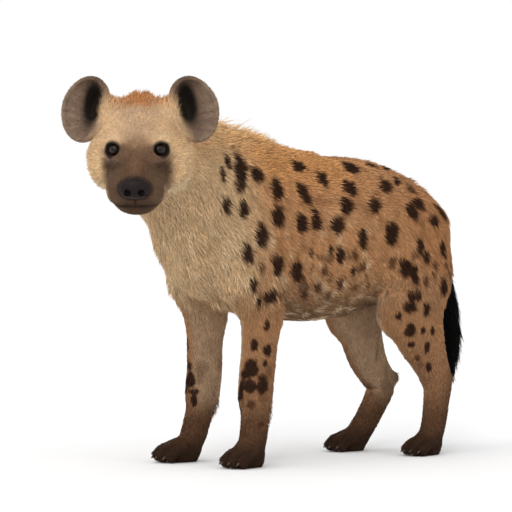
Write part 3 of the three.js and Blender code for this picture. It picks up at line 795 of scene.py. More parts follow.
@dataclass
class Markings:
    """Colours of skin and coat, from where a point is on the body, with painted shade on the belly and in the
    ears' hollows.
    """

    camera: PhotoCamera
    body: BodyForm
    edge: float = 0.42
    spread: float = 1.06
    spot_colour: Array = field(default_factory=lambda: linear(44, 27, 19))

    def place_spots(self, verts: Array, quads: Array) -> None:
        """Casts each spot from the camera onto the skin, and again onto the other side."""
        tree = BVHTree.FromPolygons(verts.tolist(), quads.tolist())
        rng = np.random.default_rng(SEED)
        rows = []
        for spot in read_spots():
            hit = self._cast(tree, spot.u, spot.v)
            if hit is None:
                continue
            at, normal = hit
            a = math.radians(spot.lean)
            per_px = np.linalg.norm(at - self.camera.at) / self.camera.focal_px
            down = np.array([0, 0, -1.0]) * math.cos(a) + self.camera.right * math.sin(a)
            across = np.cross(down, self.camera.back)
            facing = max(0.35, abs(float(normal @ self.camera.back)))
            length = self._flatten(down, normal)
            width = self._flatten(across, normal)
            size = self.spread * per_px / 2
            half_l = spot.h * size * min(1 / max(facing, 0.5), np.linalg.norm(length))
            half_w = spot.w * size * min(1 / max(facing, 0.5), np.linalg.norm(width))
            long_axis = unit(length)
            rows.append((at, long_axis, unit(np.cross(normal, long_axis)), half_l, half_w, spot.strength))
        for at, long_axis, cross_axis, half_l, half_w, strength in list(rows):
            if (at[1] < -300 and at[2] > 640) or (at[1] < -150 and at[2] > 730):
                continue
            flip = np.array([-1.0, 1.0, 1.0])
            jog = np.array([0, rng.normal(0, 9), rng.normal(0, 9)])
            hit = tree.find_nearest(Vector(at * flip + jog))
            if hit[0] is None:
                continue
            grow = 1 + rng.normal(0, 0.12, 2)
            rows.append((np.array(hit[0]), long_axis * flip, cross_axis * flip,
                         half_l * grow[0], half_w * grow[1], strength))
        self.spots = rows
        log.info("%d spots placed", len(rows))

    def _cast(self, tree: BVHTree, u: float, v: float) -> tuple[Array, Array] | None:
        """Where the ray through a pixel meets the skin, and the skin's direction there."""
        hit = tree.ray_cast(Vector(self.camera.at), Vector(self.camera.ray(u, v)))
        return None if hit[0] is None else (np.array(hit[0]), np.array(hit[1]))

    def _flatten(self, screen: Array, normal: Array) -> Array:
        """The step over the skin that the camera sees as a unit step in the screen's plane."""
        back = self.camera.back
        depth = -float(screen @ normal) / max(float(normal @ back), 0.3)
        return screen + back * depth

    def darkness(self, p: Array) -> Array:
        """How much each point belongs to a spot, 0 to 1."""
        dark = np.zeros(len(p))
        wobble = 0.30 * lattice_noise(p, 13, 3) + 0.16 * lattice_noise(p, 6, 5)
        for at, long_axis, cross_axis, half_l, half_w, strength in self.spots:
            reach = max(half_l, half_w) * 1.7 + 4
            near = np.nonzero(np.all(np.abs(p - at) < reach, axis=1))[0]
            if not len(near):
                continue
            q = p[near] - at
            a, b = q @ long_axis / half_l, q @ cross_axis / half_w
            off = (q - np.outer(q @ long_axis, long_axis) - np.outer(q @ cross_axis, cross_axis))
            off = np.linalg.norm(off, axis=1) / (max(half_l, half_w) * 2.0)
            r = np.sqrt(a * a + b * b + off * off) + wobble[near]
            dark[near] = np.maximum(dark[near], strength * ramp(r, 1.0 + self.edge, 1.0 - self.edge))
        return dark

    def coat(self, p: Array, parts: Array, normals: Array) -> Array:
        """Linear colour of the coat at each point."""
        x, y, z = p.T
        weight = part_weights(parts)
        leg = weight[3:7].sum(0)
        trunk_colour = self._trunk(p, normals)
        leg_colour = self._leg(p)
        low = ramp(z, 470, 330)
        colour = mix(trunk_colour, leg_colour, np.clip(leg, 0, 1) * low)
        dark = self.darkness(p)
        colour = mix(colour, linear(116, 70, 42), 0.6 * ramp(dark, 0.05, 0.5))
        colour = mix(colour, self.spot_colour, 0.95 * ramp(dark, 0.25, 0.85))
        tuft = ramp(z, 480, 430) * ramp(weight[Part.TAIL.value], 0.2, 0.6) * ramp(y, 415, 435)
        colour = mix(colour, linear(11, 9, 8), tuft)
        head_colour = self._head(p)
        face = weight[Part.HEAD.value] + weight[Part.EAR.value]
        colour = mix(colour, head_colour, ramp(face, 0.25, 0.8))
        ear_colour, hollow = self._ear(p)
        colour = mix(colour, ear_colour, ramp(weight[Part.EAR.value], 0.35, 0.75))
        # near-black in the ear's hollow: dark inner ear, deepened with painted shade
        colour = mix(colour, linear(13, 9, 7), hollow * ramp(face, 0.5, 0.9))
        grain = 1 + 0.10 * lattice_noise(p, 22, 21) + 0.07 * lattice_noise(p, 7, 22)
        return np.clip(colour * grain[:, None], 0, 1)

    def _trunk(self, p: Array, normals: Array) -> Array:
        """Colour of the trunk, neck and tail root."""
        x, y, z = p.T
        flank = np.tile(linear(199, 149, 104), (len(p), 1))
        flank = mix(flank, linear(170, 120, 80), 0.75 * ramp(y, 150, 380))
        flank = mix(flank, linear(214, 158, 102), ramp(z, 620, 720) * ramp(y, 200, 0))
        crest = ramp(z, 735, 800) * ramp(y, 120, -80)
        off_crest = np.abs(x - 0.2 * np.maximum(-y - 250, 0))
        flank = mix(flank, linear(238, 190, 134), crest * ramp(off_crest, 90, 30))
        cream = ramp(y, -170, -330) * ramp(z, 860, 700)
        flank = mix(flank, linear(214, 184, 144), cream * 0.9)
        dorsal = ramp(normals[:, 2], 0.9, 0.98) * ramp(y, -20, 60)
        flank = mix(flank, linear(138, 96, 62), 0.5 * dorsal)
        under = ramp(z, 500, 390) * ramp(y, -260, -120)
        flank = mix(flank, linear(168, 132, 98), 0.7 * under)
        # darker where the skin faces down: partly the darker belly coat, partly painted shade under the body
        belly_and_underside_shade = ramp(-normals[:, 2], 0.35, 0.85) * ramp(y, -300, -150)
        flank = mix(flank, linear(104, 78, 58), 0.85 * belly_and_underside_shade)
        streak = lattice_noise(p * np.array([1.0, 0.45, 0.3]), 8, 31)
        pale = ramp(streak, 0.05, 0.7) * ramp(z, 640, 500) * ramp(y, 280, 60)
        flank = mix(flank, linear(236, 210, 172), 0.68 * pale)
        brown = ramp(lattice_noise(p * np.array([1.0, 0.7, 0.4]), 11, 32), 0.1, 0.75)
        flank = mix(flank, linear(138, 92, 58), 0.48 * brown * ramp(z, 760, 640) * ramp(y, -330, -200))
        fleck = ramp(lattice_noise(p * np.array([1.0, 1.0, 0.6]), 15, 33), 0.3, 0.6)
        low = ramp(z, 540, 480) * ramp(z, 370, 410) * ramp(y, -170, -100)
        return mix(flank, linear(80, 48, 30), 0.8 * fleck * low)

    def _leg(self, p: Array) -> Array:
        """Colour of the legs, darker down to the toes."""
        x, y, z = p.T
        colour = np.tile(linear(172, 128, 90), (len(p), 1))
        colour = mix(colour, linear(152, 112, 80), ramp(z, 330, 200))
        inner = ramp(np.abs(x), 106, 84)
        colour = mix(colour, linear(186, 156, 126), 0.85 * inner * ramp(z, 90, 170))
        patches = lattice_noise(p * np.array([1, 1, 0.6]), 20, 71)
        blotch = ramp(patches, 0.15, 0.6) * ramp(z, 60, 110) * ramp(z, 330, 230)
        colour = mix(colour, linear(96, 66, 46), 0.45 * blotch)
        colour = mix(colour, linear(94, 66, 46), ramp(z, 190, 80))
        colour = mix(colour, linear(54, 36, 25), ramp(z, 84, 26))
        back = ramp(y - np.where(y > 0, 330, -200), 0, 50) * ramp(z, 60, 120) * ramp(z, 260, 160)
        return mix(colour, linear(84, 58, 43), 0.6 * back)

    def _head(self, p: Array) -> Array:
        """Colour of the head, from the places of the eyes, muzzle and cheeks."""
        q = self.body.head.local(p)
        x, y, z = q[:, 0], np.abs(q[:, 1]), q[:, 2]
        # height as the face shows it from in front
        s = 0.9135 * z - 0.407 * x + 5 * lattice_noise(p, 16, 61) + 3 * lattice_noise(p, 7, 62)
        side = y + 4 * lattice_noise(p, 12, 63)
        front = ramp(x, -75, -30)
        colour = np.tile(linear(232, 196, 152), (len(p), 1))
        fore = hill(side, 0, 62) * ramp(s, 8, 30) * ramp(s, 128, 92)
        colour = mix(colour, linear(196, 164, 134), 0.8 * fore)
        crown = hill(side, 0, 64) * ramp(s, 88, 112)
        colour = mix(colour, linear(200, 134, 80), 0.95 * crown)
        low = ramp(z, -70, -118) * ramp(x, 60, 5)
        colour = mix(colour, linear(222, 202, 168), 0.8 * low)
        bridge = ramp(side, 46, 14) * ramp(s, 46, 6) * front
        colour = mix(colour, linear(140, 106, 80), 0.85 * bridge)
        reach = np.interp(s, [-150, -130, -106, -80, -45, -28, -12, 10], [40, 54, 68, 76, 79, 75, 62, 36])
        mask = ramp(side, reach + 13, reach - 12) * ramp(s, 26, -26) * ramp(x, -34, -4)
        colour = mix(colour, linear(78, 55, 41), 0.92 * mask)
        lighter = hill(side, 0, 24) * hill(s, -30, 34) * front
        colour = mix(colour, linear(126, 95, 72), 0.7 * lighter)
        above = hill(side, 56, 18) * hill(s, 31, 5) * front
        colour = mix(colour, linear(228, 202, 168), 0.6 * above)
        eye = np.stack([x, y, z], 1) - np.array(self.body.head.eye_at)
        reach_eye = np.linalg.norm(eye, axis=1)
        socket = ramp(reach_eye, 54, 32) * ramp(s, 20, -10) * ramp(side, 96, 74) * front
        colour = mix(colour, linear(112, 84, 66), 0.75 * socket)
        inner_corner = ramp(reach_eye, 46, 28) * ramp(side, 48, 30) * ramp(s, 30, -6) * front
        colour = mix(colour, linear(96, 71, 55), 0.65 * inner_corner)
        bag = hill(side, 52, 17) * hill(s, -25, 5) * front
        colour = mix(colour, linear(136, 110, 96), 0.45 * bag)
        under = hill(side, 55, 20) * hill(s, -38, 11) * front
        colour = mix(colour, linear(46, 33, 27), 0.65 * under)
        pad = np.array(self.body.head.nose_at)
        about_nose = np.linalg.norm((q - pad) / np.array(self.body.head.nose), axis=1)
        colour = mix(colour, linear(40, 30, 27), 0.85 * ramp(about_nose, 1.45, 1.08) * ramp(x, 80, 96))
        corner = np.linalg.norm(eye - np.array([14, -18, -6]), axis=1)
        round_eye = np.linalg.norm(eye * np.array([1, 0.95, 1.05]), axis=1)
        colour = mix(colour, linear(44, 31, 26), 0.85 * ramp(corner, 16, 7))
        colour = mix(colour, linear(20, 14, 12), ramp(round_eye, 29.5, 22.0))
        philtrum = ramp(y, 3.4, 1.2) * ramp(x, 92, 104) * ramp(z, -70, -80)
        colour = mix(colour, linear(34, 25, 23), 0.8 * philtrum)
        lips = ramp(x, 36, 66) * hill(z, -100, 7)
        return mix(colour, linear(36, 27, 24), 0.8 * lips)

    def _ear(self, p: Array) -> tuple[Array, Array]:
        """Colour of the ears, grey-brown in front and tan behind.

        Args:
            p: points of the body frame, in mm.

        Returns:
            The colour, and how deep in the hollow each point is, from 0 to 1; the near-black there is the
            dark inner ear deepened with painted shade.
        """
        head = self.body.head
        n, o, u = head.ear_local(head.folded(p)).T
        colour = np.tile(linear(142, 120, 102), (len(p), 1))
        rays = lattice_noise(np.stack([np.arctan2(u + 20, o + 40) * 60, 0 * u, 0 * u], 1), 5, 51)
        colour = colour * (1 + 0.16 * rays[:, None])
        back = ellipsoid(n + head.ear_backs[0], o, u, *head.ear_outer) > -7
        colour = mix(colour, linear(152, 122, 94), back * ramp(n, 2, -10) * 0.85)
        fringe = ramp(o, -38, -52) * ramp(u, -40, 0)
        colour = mix(colour, linear(200, 164, 124), 0.8 * fringe)
        ring = np.sqrt(((o + 12) / 24) ** 2 + ((u - 16) / 50) ** 2)
        colour = mix(colour, linear(104, 81, 66), 0.7 * ramp(ring, 2.2, 1.1) * ramp(n, 26, 12))
        # the hollow in the middle of the ear's face: dark inner ear, deepened with painted shade
        hollow = 0.98 * ramp(ring, 1.4, 0.72) * ramp(n, -42, -36) * ramp(n, 26, 12)
        return colour, hollow


@dataclass
class Lie:
    """How the coat lies: its direction, length, thickness, lift and spacing at each point."""

    body: BodyForm

    def flow(self, p: Array, parts: Array, normals: Array) -> Array:
        """The direction of the hair along the skin at each point."""
        x, _, z = p.T
        weight = part_weights(parts)
        down = 0.12 + 0.85 * ramp(z, 730, 480)
        trunk = np.stack([0 * x, 1 + 0 * x, -down * ramp(normals[:, 2], -0.9, -0.2)], 1)
        neck = np.stack([-0.25 + 0 * x, 0.85 + 0 * x, -0.35 - 0.9 * ramp(z, 790, 640)], 1)
        tail = np.stack([0 * x, 0.08 + 0 * x, -1 + 0 * x], 1)
        fore = np.stack([0 * x, 0.28 + 0 * x, -1 + 0 * x], 1)
        hind = np.stack([0 * x, 0.30 * ramp(z, 240, 380) + 0.02, -1 + 0 * x], 1)
        flow = trunk * weight[0][:, None] + neck * weight[1][:, None] + tail * weight[2][:, None]
        flow = flow + fore * (weight[3] + weight[4])[:, None] + hind * (weight[5] + weight[6])[:, None]
        flow = flow + self._head(p) * (weight[7])[:, None] + self._ear(p) * weight[8][:, None]
        toes = ramp(z, 70, 40)[:, None] * np.array([0.0, -0.9, 0.0])
        flow = flow + toes
        swirl = 0.20 * lattice_noise(p, 60, 41)[:, None] * np.cross(normals, flow)
        flow = flow + swirl
        return unit(flow - normals * (flow * normals).sum(1, keepdims=True))

    def _head(self, p: Array) -> Array:
        """Hair runs back from the nose, up the forehead and out over the cheeks."""
        q = self.body.head.local(p)
        s = np.sign(q[:, 1]) + (q[:, 1] == 0)
        x, y, z = q[:, 0], np.abs(q[:, 1]), q[:, 2]
        out = 0.15 + 0.55 * ramp(y, 20, 90)
        rise = 0.75 * ramp(z, -10, 60) - 0.55 * ramp(z, -20, -90)
        local = np.stack([-1 + 0 * x, s * out, rise], 1)
        return unit(local) @ self.body.head.axes.T

    def _ear(self, p: Array) -> Array:
        """Hair fans out from the root of the ear."""
        head = self.body.head
        q = head.local(p)
        s = np.sign(q[:, 1]) + (q[:, 1] == 0)
        q[:, 1] = np.abs(q[:, 1])
        e = head.ear_local(q)
        fan = np.stack([0.1 + 0 * e[:, 0], e[:, 1] + 34, e[:, 2] + 18], 1)
        fan[:, 1:] = unit(fan[:, 1:])
        local = fan @ head.ear_axes.T
        local[:, 1] *= s
        return local @ head.axes.T

    def shape(self, p: Array, parts: Array, normals: Array) -> dict[str, Array]:
        """The shape of a tuft at each point.

        Args:
            p: points of the body frame, in mm.
            parts: distances to each Part.
            normals: the outward direction at each point.

        Returns:
            Length and width in mm, lift as a share of the length, and room, the mm² of skin for each.
        """
        x, y, z = p.T
        label = parts.argmin(0)
        n = len(p)
        length, width, lift, room = np.full(n, 24.0), np.full(n, 2.5), np.full(n, 0.16), np.full(n, 10.5)
        crest_line = np.abs(x - np.interp(-y, [215, 330, 440, 525], [0, 12, 42, 70]))
        crest_top = np.interp(y, [-525, -440, -330, -215, -100, 10, 60], [885, 880, 845, 818, 786, 756, 745])
        crest = ramp(crest_line, 62, 14) * ramp(crest_top - z, 110, 50)
        crest = crest * ramp(y, -20, -230) * ramp(y, -530, -440)
        chest = ramp(y, -160, -330) * ramp(z, 740, 560)
        length = length + 10 * chest + 29 * crest + 6 * ramp(z, 430, 370)
        lift = lift + 0.07 * chest + 0.36 * crest
        width = width + 0.5 * crest
        leg = (label >= 3) & (label <= 6)
        slim = leg * ramp(z, 440, 330)
        length = toward(length, 15 - 3 * ramp(z, 260, 120), slim)
        width, lift, room = toward(width, 1.8, slim), toward(lift, 0.14, slim), toward(room, 8.5, slim)
        foot = ramp(z, 95, 40) * leg
        length, width, room = toward(length, 7, foot), toward(width, 1.4, foot), toward(room, 6.5, foot)
        wrist = leg * (y < 0) * ramp(normals[:, 1], 0.3, 0.8) * hill(z, 138, 26)
        length = length + 10 * wrist
        lift = lift + 0.34 * wrist
        tail = label == Part.TAIL.value
        brush = tail * ramp(z, 500, 400)
        length = np.where(tail, 24 + 42 * brush * ramp(z, 185, 240), length)
        width = np.where(tail, 2.4 + 1.0 * brush, width)
        lift = np.where(tail, 0.14 + 0.05 * brush, lift)
        room = np.where(tail, 6.0, room)
        head = label == Part.HEAD.value
        q = self.body.head.local(p)
        hx, hy, hz = q[:, 0], np.abs(q[:, 1]), q[:, 2]
        muzzle = ramp(hx, -20, 45)
        cheek = ramp(hx, 20, -50) * ramp(hz, 20, -30) * ramp(hy, 30, 80)
        tuft = ramp(0.9135 * hz - 0.407 * hx, 98, 120) * ramp(hy, 84, 44)
        h_len = 12 - 6.5 * muzzle + 12 * cheek + 9 * tuft
        h_len = h_len + 9 * ramp(hx, -60, -110) + 8 * ramp(hz, -90, -120) * ramp(hx, 90, 20)
        eye = self.body.head.eye_reach(hx, hy, hz)
        h_len = h_len * (0.35 + 0.65 * ramp(eye, 20, 37))
        length = np.where(head, h_len, length)
        width = np.where(head, 1.0 + 0.05 * h_len, width)
        lift = np.where(head, 0.15 + 0.04 * cheek + 0.34 * tuft, lift)
        room = np.where(head, (3.4 + 3.2 * ramp(h_len, 6, 22)) * (1 - 0.4 * tuft), room)
        ear = label == Part.EAR.value
        length = np.where(ear, 6.5, length)
        width = np.where(ear, 1.25, width)
        lift = np.where(ear, 0.14, lift)
        room = np.where(ear, 4.6, room)
        hide = (eye < 19.8) & head
        sole = z < 3.0
        pad = np.array(self.body.head.nose) + 1.5
        nose = np.linalg.norm((q - np.array(self.body.head.nose_at)) / pad, axis=1) < 1
        room = np.where(hide | sole | (nose & head), 1e9, room)
        return {"length": length, "width": width, "lift": lift, "room": room}


def link_mesh(name: str, verts: Array, faces: Array, shift: Array) -> bpy.types.Object:
    """A smooth mesh object from points in mm. Args: shift moves the body frame to the row frame."""
    mesh = bpy.data.meshes.new(name)
    size = faces.shape[1]
    mesh.vertices.add(len(verts))
    mesh.vertices.foreach_set("co", ((verts + shift) * MM).astype(np.float32).ravel())
    mesh.loops.add(faces.size)
    mesh.loops.foreach_set("vertex_index", faces.astype(np.int32).ravel())
    mesh.polygons.add(len(faces))
    mesh.polygons.foreach_set("loop_start", np.arange(0, faces.size, size, dtype=np.int32))
    mesh.polygons.foreach_set("use_smooth", np.ones(len(faces), bool))
    mesh.update(calc_edges=True)
    mesh.validate()
    obj = bpy.data.objects.new(name, mesh)
    bpy.context.collection.objects.link(obj)
    return obj


def set_colours(obj: bpy.types.Object, name: str, colours: Array) -> None:
    """Stores a linear colour for each vertex."""
    layer = obj.data.color_attributes.new(name, "FLOAT_COLOR", "POINT")
    rgba = np.ones((len(colours), 4), np.float32)
    rgba[:, :3] = colours
    layer.data.foreach_set("color", rgba.ravel())


def tube_faces(rings: int, around: int, start: int = 0) -> list[Row]:
    """Quads that join rings of points one after another. Args: start is the first point's number."""
    faces = []
    for i in range(rings - 1):
        a, b = start + i * around, start + (i + 1) * around
        for j in range(around):
            k = (j + 1) % around
            faces.append((a + j, a + k, b + k, b + j))
    return faces


class NodePainter:
    """Builds the node tree of one material."""

    def __init__(self, name: str) -> None:
        """Args: name is the material's name."""
        self.material = bpy.data.materials.new(name)
        self.material.use_nodes = True
        self.tree = self.material.node_tree
        self.shader = self.tree.nodes["Principled BSDF"]

    def add(self, kind: str, **values) -> bpy.types.Node:
        """A node with these socket values, by name or by number after an underscore."""
        node = self.tree.nodes.new(kind)
        for key, value in values.items():
            if hasattr(node, key):
                setattr(node, key, value)
            else:
                socket = int(key[1:]) if key[1:].isdigit() else key.replace("_", " ")
                node.inputs[socket].default_value = value
        return node

    def link(self, a: bpy.types.Node, out: str | int, b: bpy.types.Node, into: str | int) -> None:
        """Joins two sockets."""
        self.tree.links.new(a.outputs[out], b.inputs[into])

    def constant(self, **values: float) -> None:
        """Sets numbers on the shader itself."""
        for key, value in values.items():
            self.shader.inputs[key.replace("_", " ")].default_value = value

    def mottle(self, source: bpy.types.Node, scale: float, low: float, high: float) -> None:
        """Multiplies the source's colour by noise, and paints the shader with it.

        Args:
            source: a node with a Color output.
            scale: how fine the noise is.
            low: the darkest factor.
            high: the brightest factor.
        """
        where = self.add("ShaderNodeTexCoord")
        noise = self.add("ShaderNodeTexNoise", Scale=scale, Detail=4.0, Roughness=0.6)
        self.link(where, "Object", noise, "Vector")
        spread = self.add("ShaderNodeMapRange", _1=0.3, _2=0.7, _3=low, _4=high)
        self.link(noise, "Fac", spread, 0)
        times = self.add("ShaderNodeVectorMath", operation="MULTIPLY")
        self.link(source, "Color", times, 0)
        self.link(spread, 0, times, 1)
        self.link(times, 0, self.shader, "Base Color")

    def two_tone(self, kind: str, scale: float, out: str, tones: tuple[Row, Row]) -> bpy.types.Node:
        """Paints the shader with two colours, chosen by a texture.

        Args:
            kind: the texture's kind of node.
            scale: how fine the texture is.
            out: the texture's output that chooses.
            tones: the colours where that output is 0 and 1.

        Returns:
            The texture's node.
        """
        where = self.add("ShaderNodeTexCoord")
        texture = self.add(kind, Scale=scale)
        self.link(where, "Object", texture, "Vector")
        tint = self.add("ShaderNodeValToRGB")
        for element, tone in zip(tint.color_ramp.elements, tones):
            element.color = (*linear(*tone), 1)
        self.link(texture, out, tint, 0)
        self.link(tint, 0, self.shader, "Base Color")
        return texture

    def bump(self, scale: float, distance: float, strength: float) -> None:
        """Adds fine relief."""
        where = self.add("ShaderNodeTexCoord")
        noise = self.add("ShaderNodeTexNoise", Scale=scale, Detail=3.0)
        self.link(where, "Object", noise, "Vector")
        bump = self.add("ShaderNodeBump", Strength=strength, Distance=distance)
        self.link(noise, "Fac", bump, "Height")
        self.link(bump, "Normal", self.shader, "Normal")


@dataclass(frozen=True)
class HairFinish:
    """The finish of skin or coat: markings and painted shade from the colour stored on the mesh."""

    name: str
    roughness: float = 0.6
    specular: float = 0.07
    scale: float = 90.0
    low: float = 0.86
    high: float = 1.12
    relief: float = 0.0
    relief_scale: float = 900.0
    relief_strength: float = 0.6

    def material(self) -> bpy.types.Material:
        """Makes the material."""
        paint = NodePainter(self.name)
        colour = paint.add("ShaderNodeAttribute", attribute_name="Markings")
        paint.mottle(colour, self.scale, self.low, self.high)
        paint.constant(Roughness=self.roughness, Specular_IOR_Level=self.specular)
        if self.relief:
            paint.bump(self.relief_scale, self.relief, self.relief_strength)
        return paint.material


@dataclass
class Skin:
    """The one skin of the animal."""

    body: BodyForm
    markings: Markings
    fine: float = 4.4
    wide: float = 7.5
    floor: float = 0.3

    def grow(self) -> None:
        """Works out the mesh, its normals and its parts."""
        axes = (
            graded((-214, 5.6), (326, 0)),
            graded((-800, self.fine), (-392, self.wide), (560, 0)),
            graded((-12, 4.6), (70, self.wide), (590, self.fine), (970, 0)),
        )
        verts, quads = NetMesher(self.body.distance, axes).quads()
        verts = settle(self.body.distance, verts, 2, 5.0)
        verts, quads = split_quads(verts, quads)
        verts = settle(self.body.distance, verts, 1, 4.0)
        self.normals = mesh_normals(verts, quads)
        verts = verts + self.normals * self._details(verts)[:, None]
        verts[:, 2] = np.maximum(verts[:, 2], self.floor)
        self.verts, self.quads = verts, quads
        self.normals = mesh_normals(verts, quads)
        self.parts = self.body.parts(verts, True)
        log.info("skin: %d points, %d quads", len(verts), len(quads))

    def _details(self, p: Array) -> Array:
        """How far each point moves out for lips, folds, sinews and muscles, in mm."""
        q = self.body.head.local(p)
        x, y, z = q[:, 0], np.abs(q[:, 1]), q[:, 2]
        line = -101 + 5 * ramp(x, 90, 40)
        groove = -3.2 * np.exp(-(((z - line) / 2.6) ** 2)) * ramp(x, 30, 50)
        lip = 1.6 * np.exp(-(((z - line - 8) / 5.0) ** 2)) * ramp(x, 30, 60)
        cleft = -2.2 * np.exp(-((y / 2.4) ** 2)) * ramp(x, 92, 104) * ramp(z, -102, -94) * ramp(z, -66, -74)
        eye = self.body.head.eye_reach(x, y, z)
        fold = 0.9 * np.sin(eye * 0.9) * ramp(eye, 38, 25) * ramp(eye, 18.5, 21) * ramp(z, 10, -4)
        near = (np.abs(p[:, 1] + 600) < 300) & (p[:, 2] > 500)
        sinew = 0.7 * lattice_noise(p, 34, 9) * ramp(p[:, 2], 420, 300)
        muscle = 2.0 * lattice_noise(p, 85, 8) * ramp(p[:, 2], 300, 420) * ramp(p[:, 2], 760, 640)
        return (groove + lip + cleft + fold) * near + (sinew + muscle) * ~near

    def build(self, shift: Array, finish: HairFinish) -> bpy.types.Object:
        """Makes the object."""
        colours = self.markings.coat(self.verts, self.parts, self.normals)
        obj = link_mesh("skin", self.verts, self.quads, shift)
        # the skin at 0.8 of the coat's colour: painted shade down among the hair
        set_colours(obj, "Markings", colours * 0.8)
        obj.data.materials.append(finish.material())
        return obj


class Unwrap:
    """Lays the skin out flat, each part in a tile of its own."""

    tiles = 3

    def __init__(self, body: BodyForm) -> None:
        """Args: body gives the axes of the parts."""
        self.body = body

    def place(self, p: Array, parts: Array, normals: Array) -> Array:
        """The place of each point on the layout, both from 0 to 1."""
        label = parts.argmin(0)
        x, y, z = p.T
        u, v = np.zeros(len(p)), np.zeros(len(p))
        round_trunk = np.arctan2(x, z - 560) / (2 * math.pi) + 0.5
        for part, along, low, high in ((Part.TRUNK, y, -440, 480), (Part.NECK, y, -640, -120)):
            on = label == part.value
            u[on] = round_trunk[on]
            v[on] = ((along - low) / (high - low))[on]
        for part, cx, cy in ((Part.TAIL, 0, 470), (Part.FORE_LEFT, 100, -235), (Part.FORE_RIGHT, -106, -235),
                             (Part.HIND_LEFT, 100, 305), (Part.HIND_RIGHT, -104, 300)):
            on = label == part.value
            u[on] = (np.arctan2(x - cx, y - cy) / (2 * math.pi) + 0.5)[on]
            v[on] = (z / 720)[on]
        q = self.body.head.local(p)
        on = label == Part.HEAD.value
        u[on] = (np.arctan2(q[:, 1], q[:, 2] + 30) / (2 * math.pi) + 0.5)[on]
        v[on] = ((q[:, 0] + 180) / 320)[on]
        left = q[:, 1] > 0
        q[:, 1] = np.abs(q[:, 1])
        e = self.body.head.ear_local(q)
        on = label == Part.EAR.value
        front = (normals @ (self.body.head.axes[:, 0]) > 0) * 0.5
        u[on] = (np.clip((e[:, 1] + 75) / 150, 0, 1) * 0.48 + front)[on]
        v[on] = (np.clip((e[:, 2] + 95) / 190, 0, 1) * 0.48 + 0.5 * left)[on]
        col, row = label % self.tiles, label // self.tiles
        inner = 0.96
        uv = np.stack([np.clip(u, 0, 1), np.clip(v, 0, 1)], 1) * inner + 0.02
        return (uv + np.stack([col, row], 1)) / self.tiles


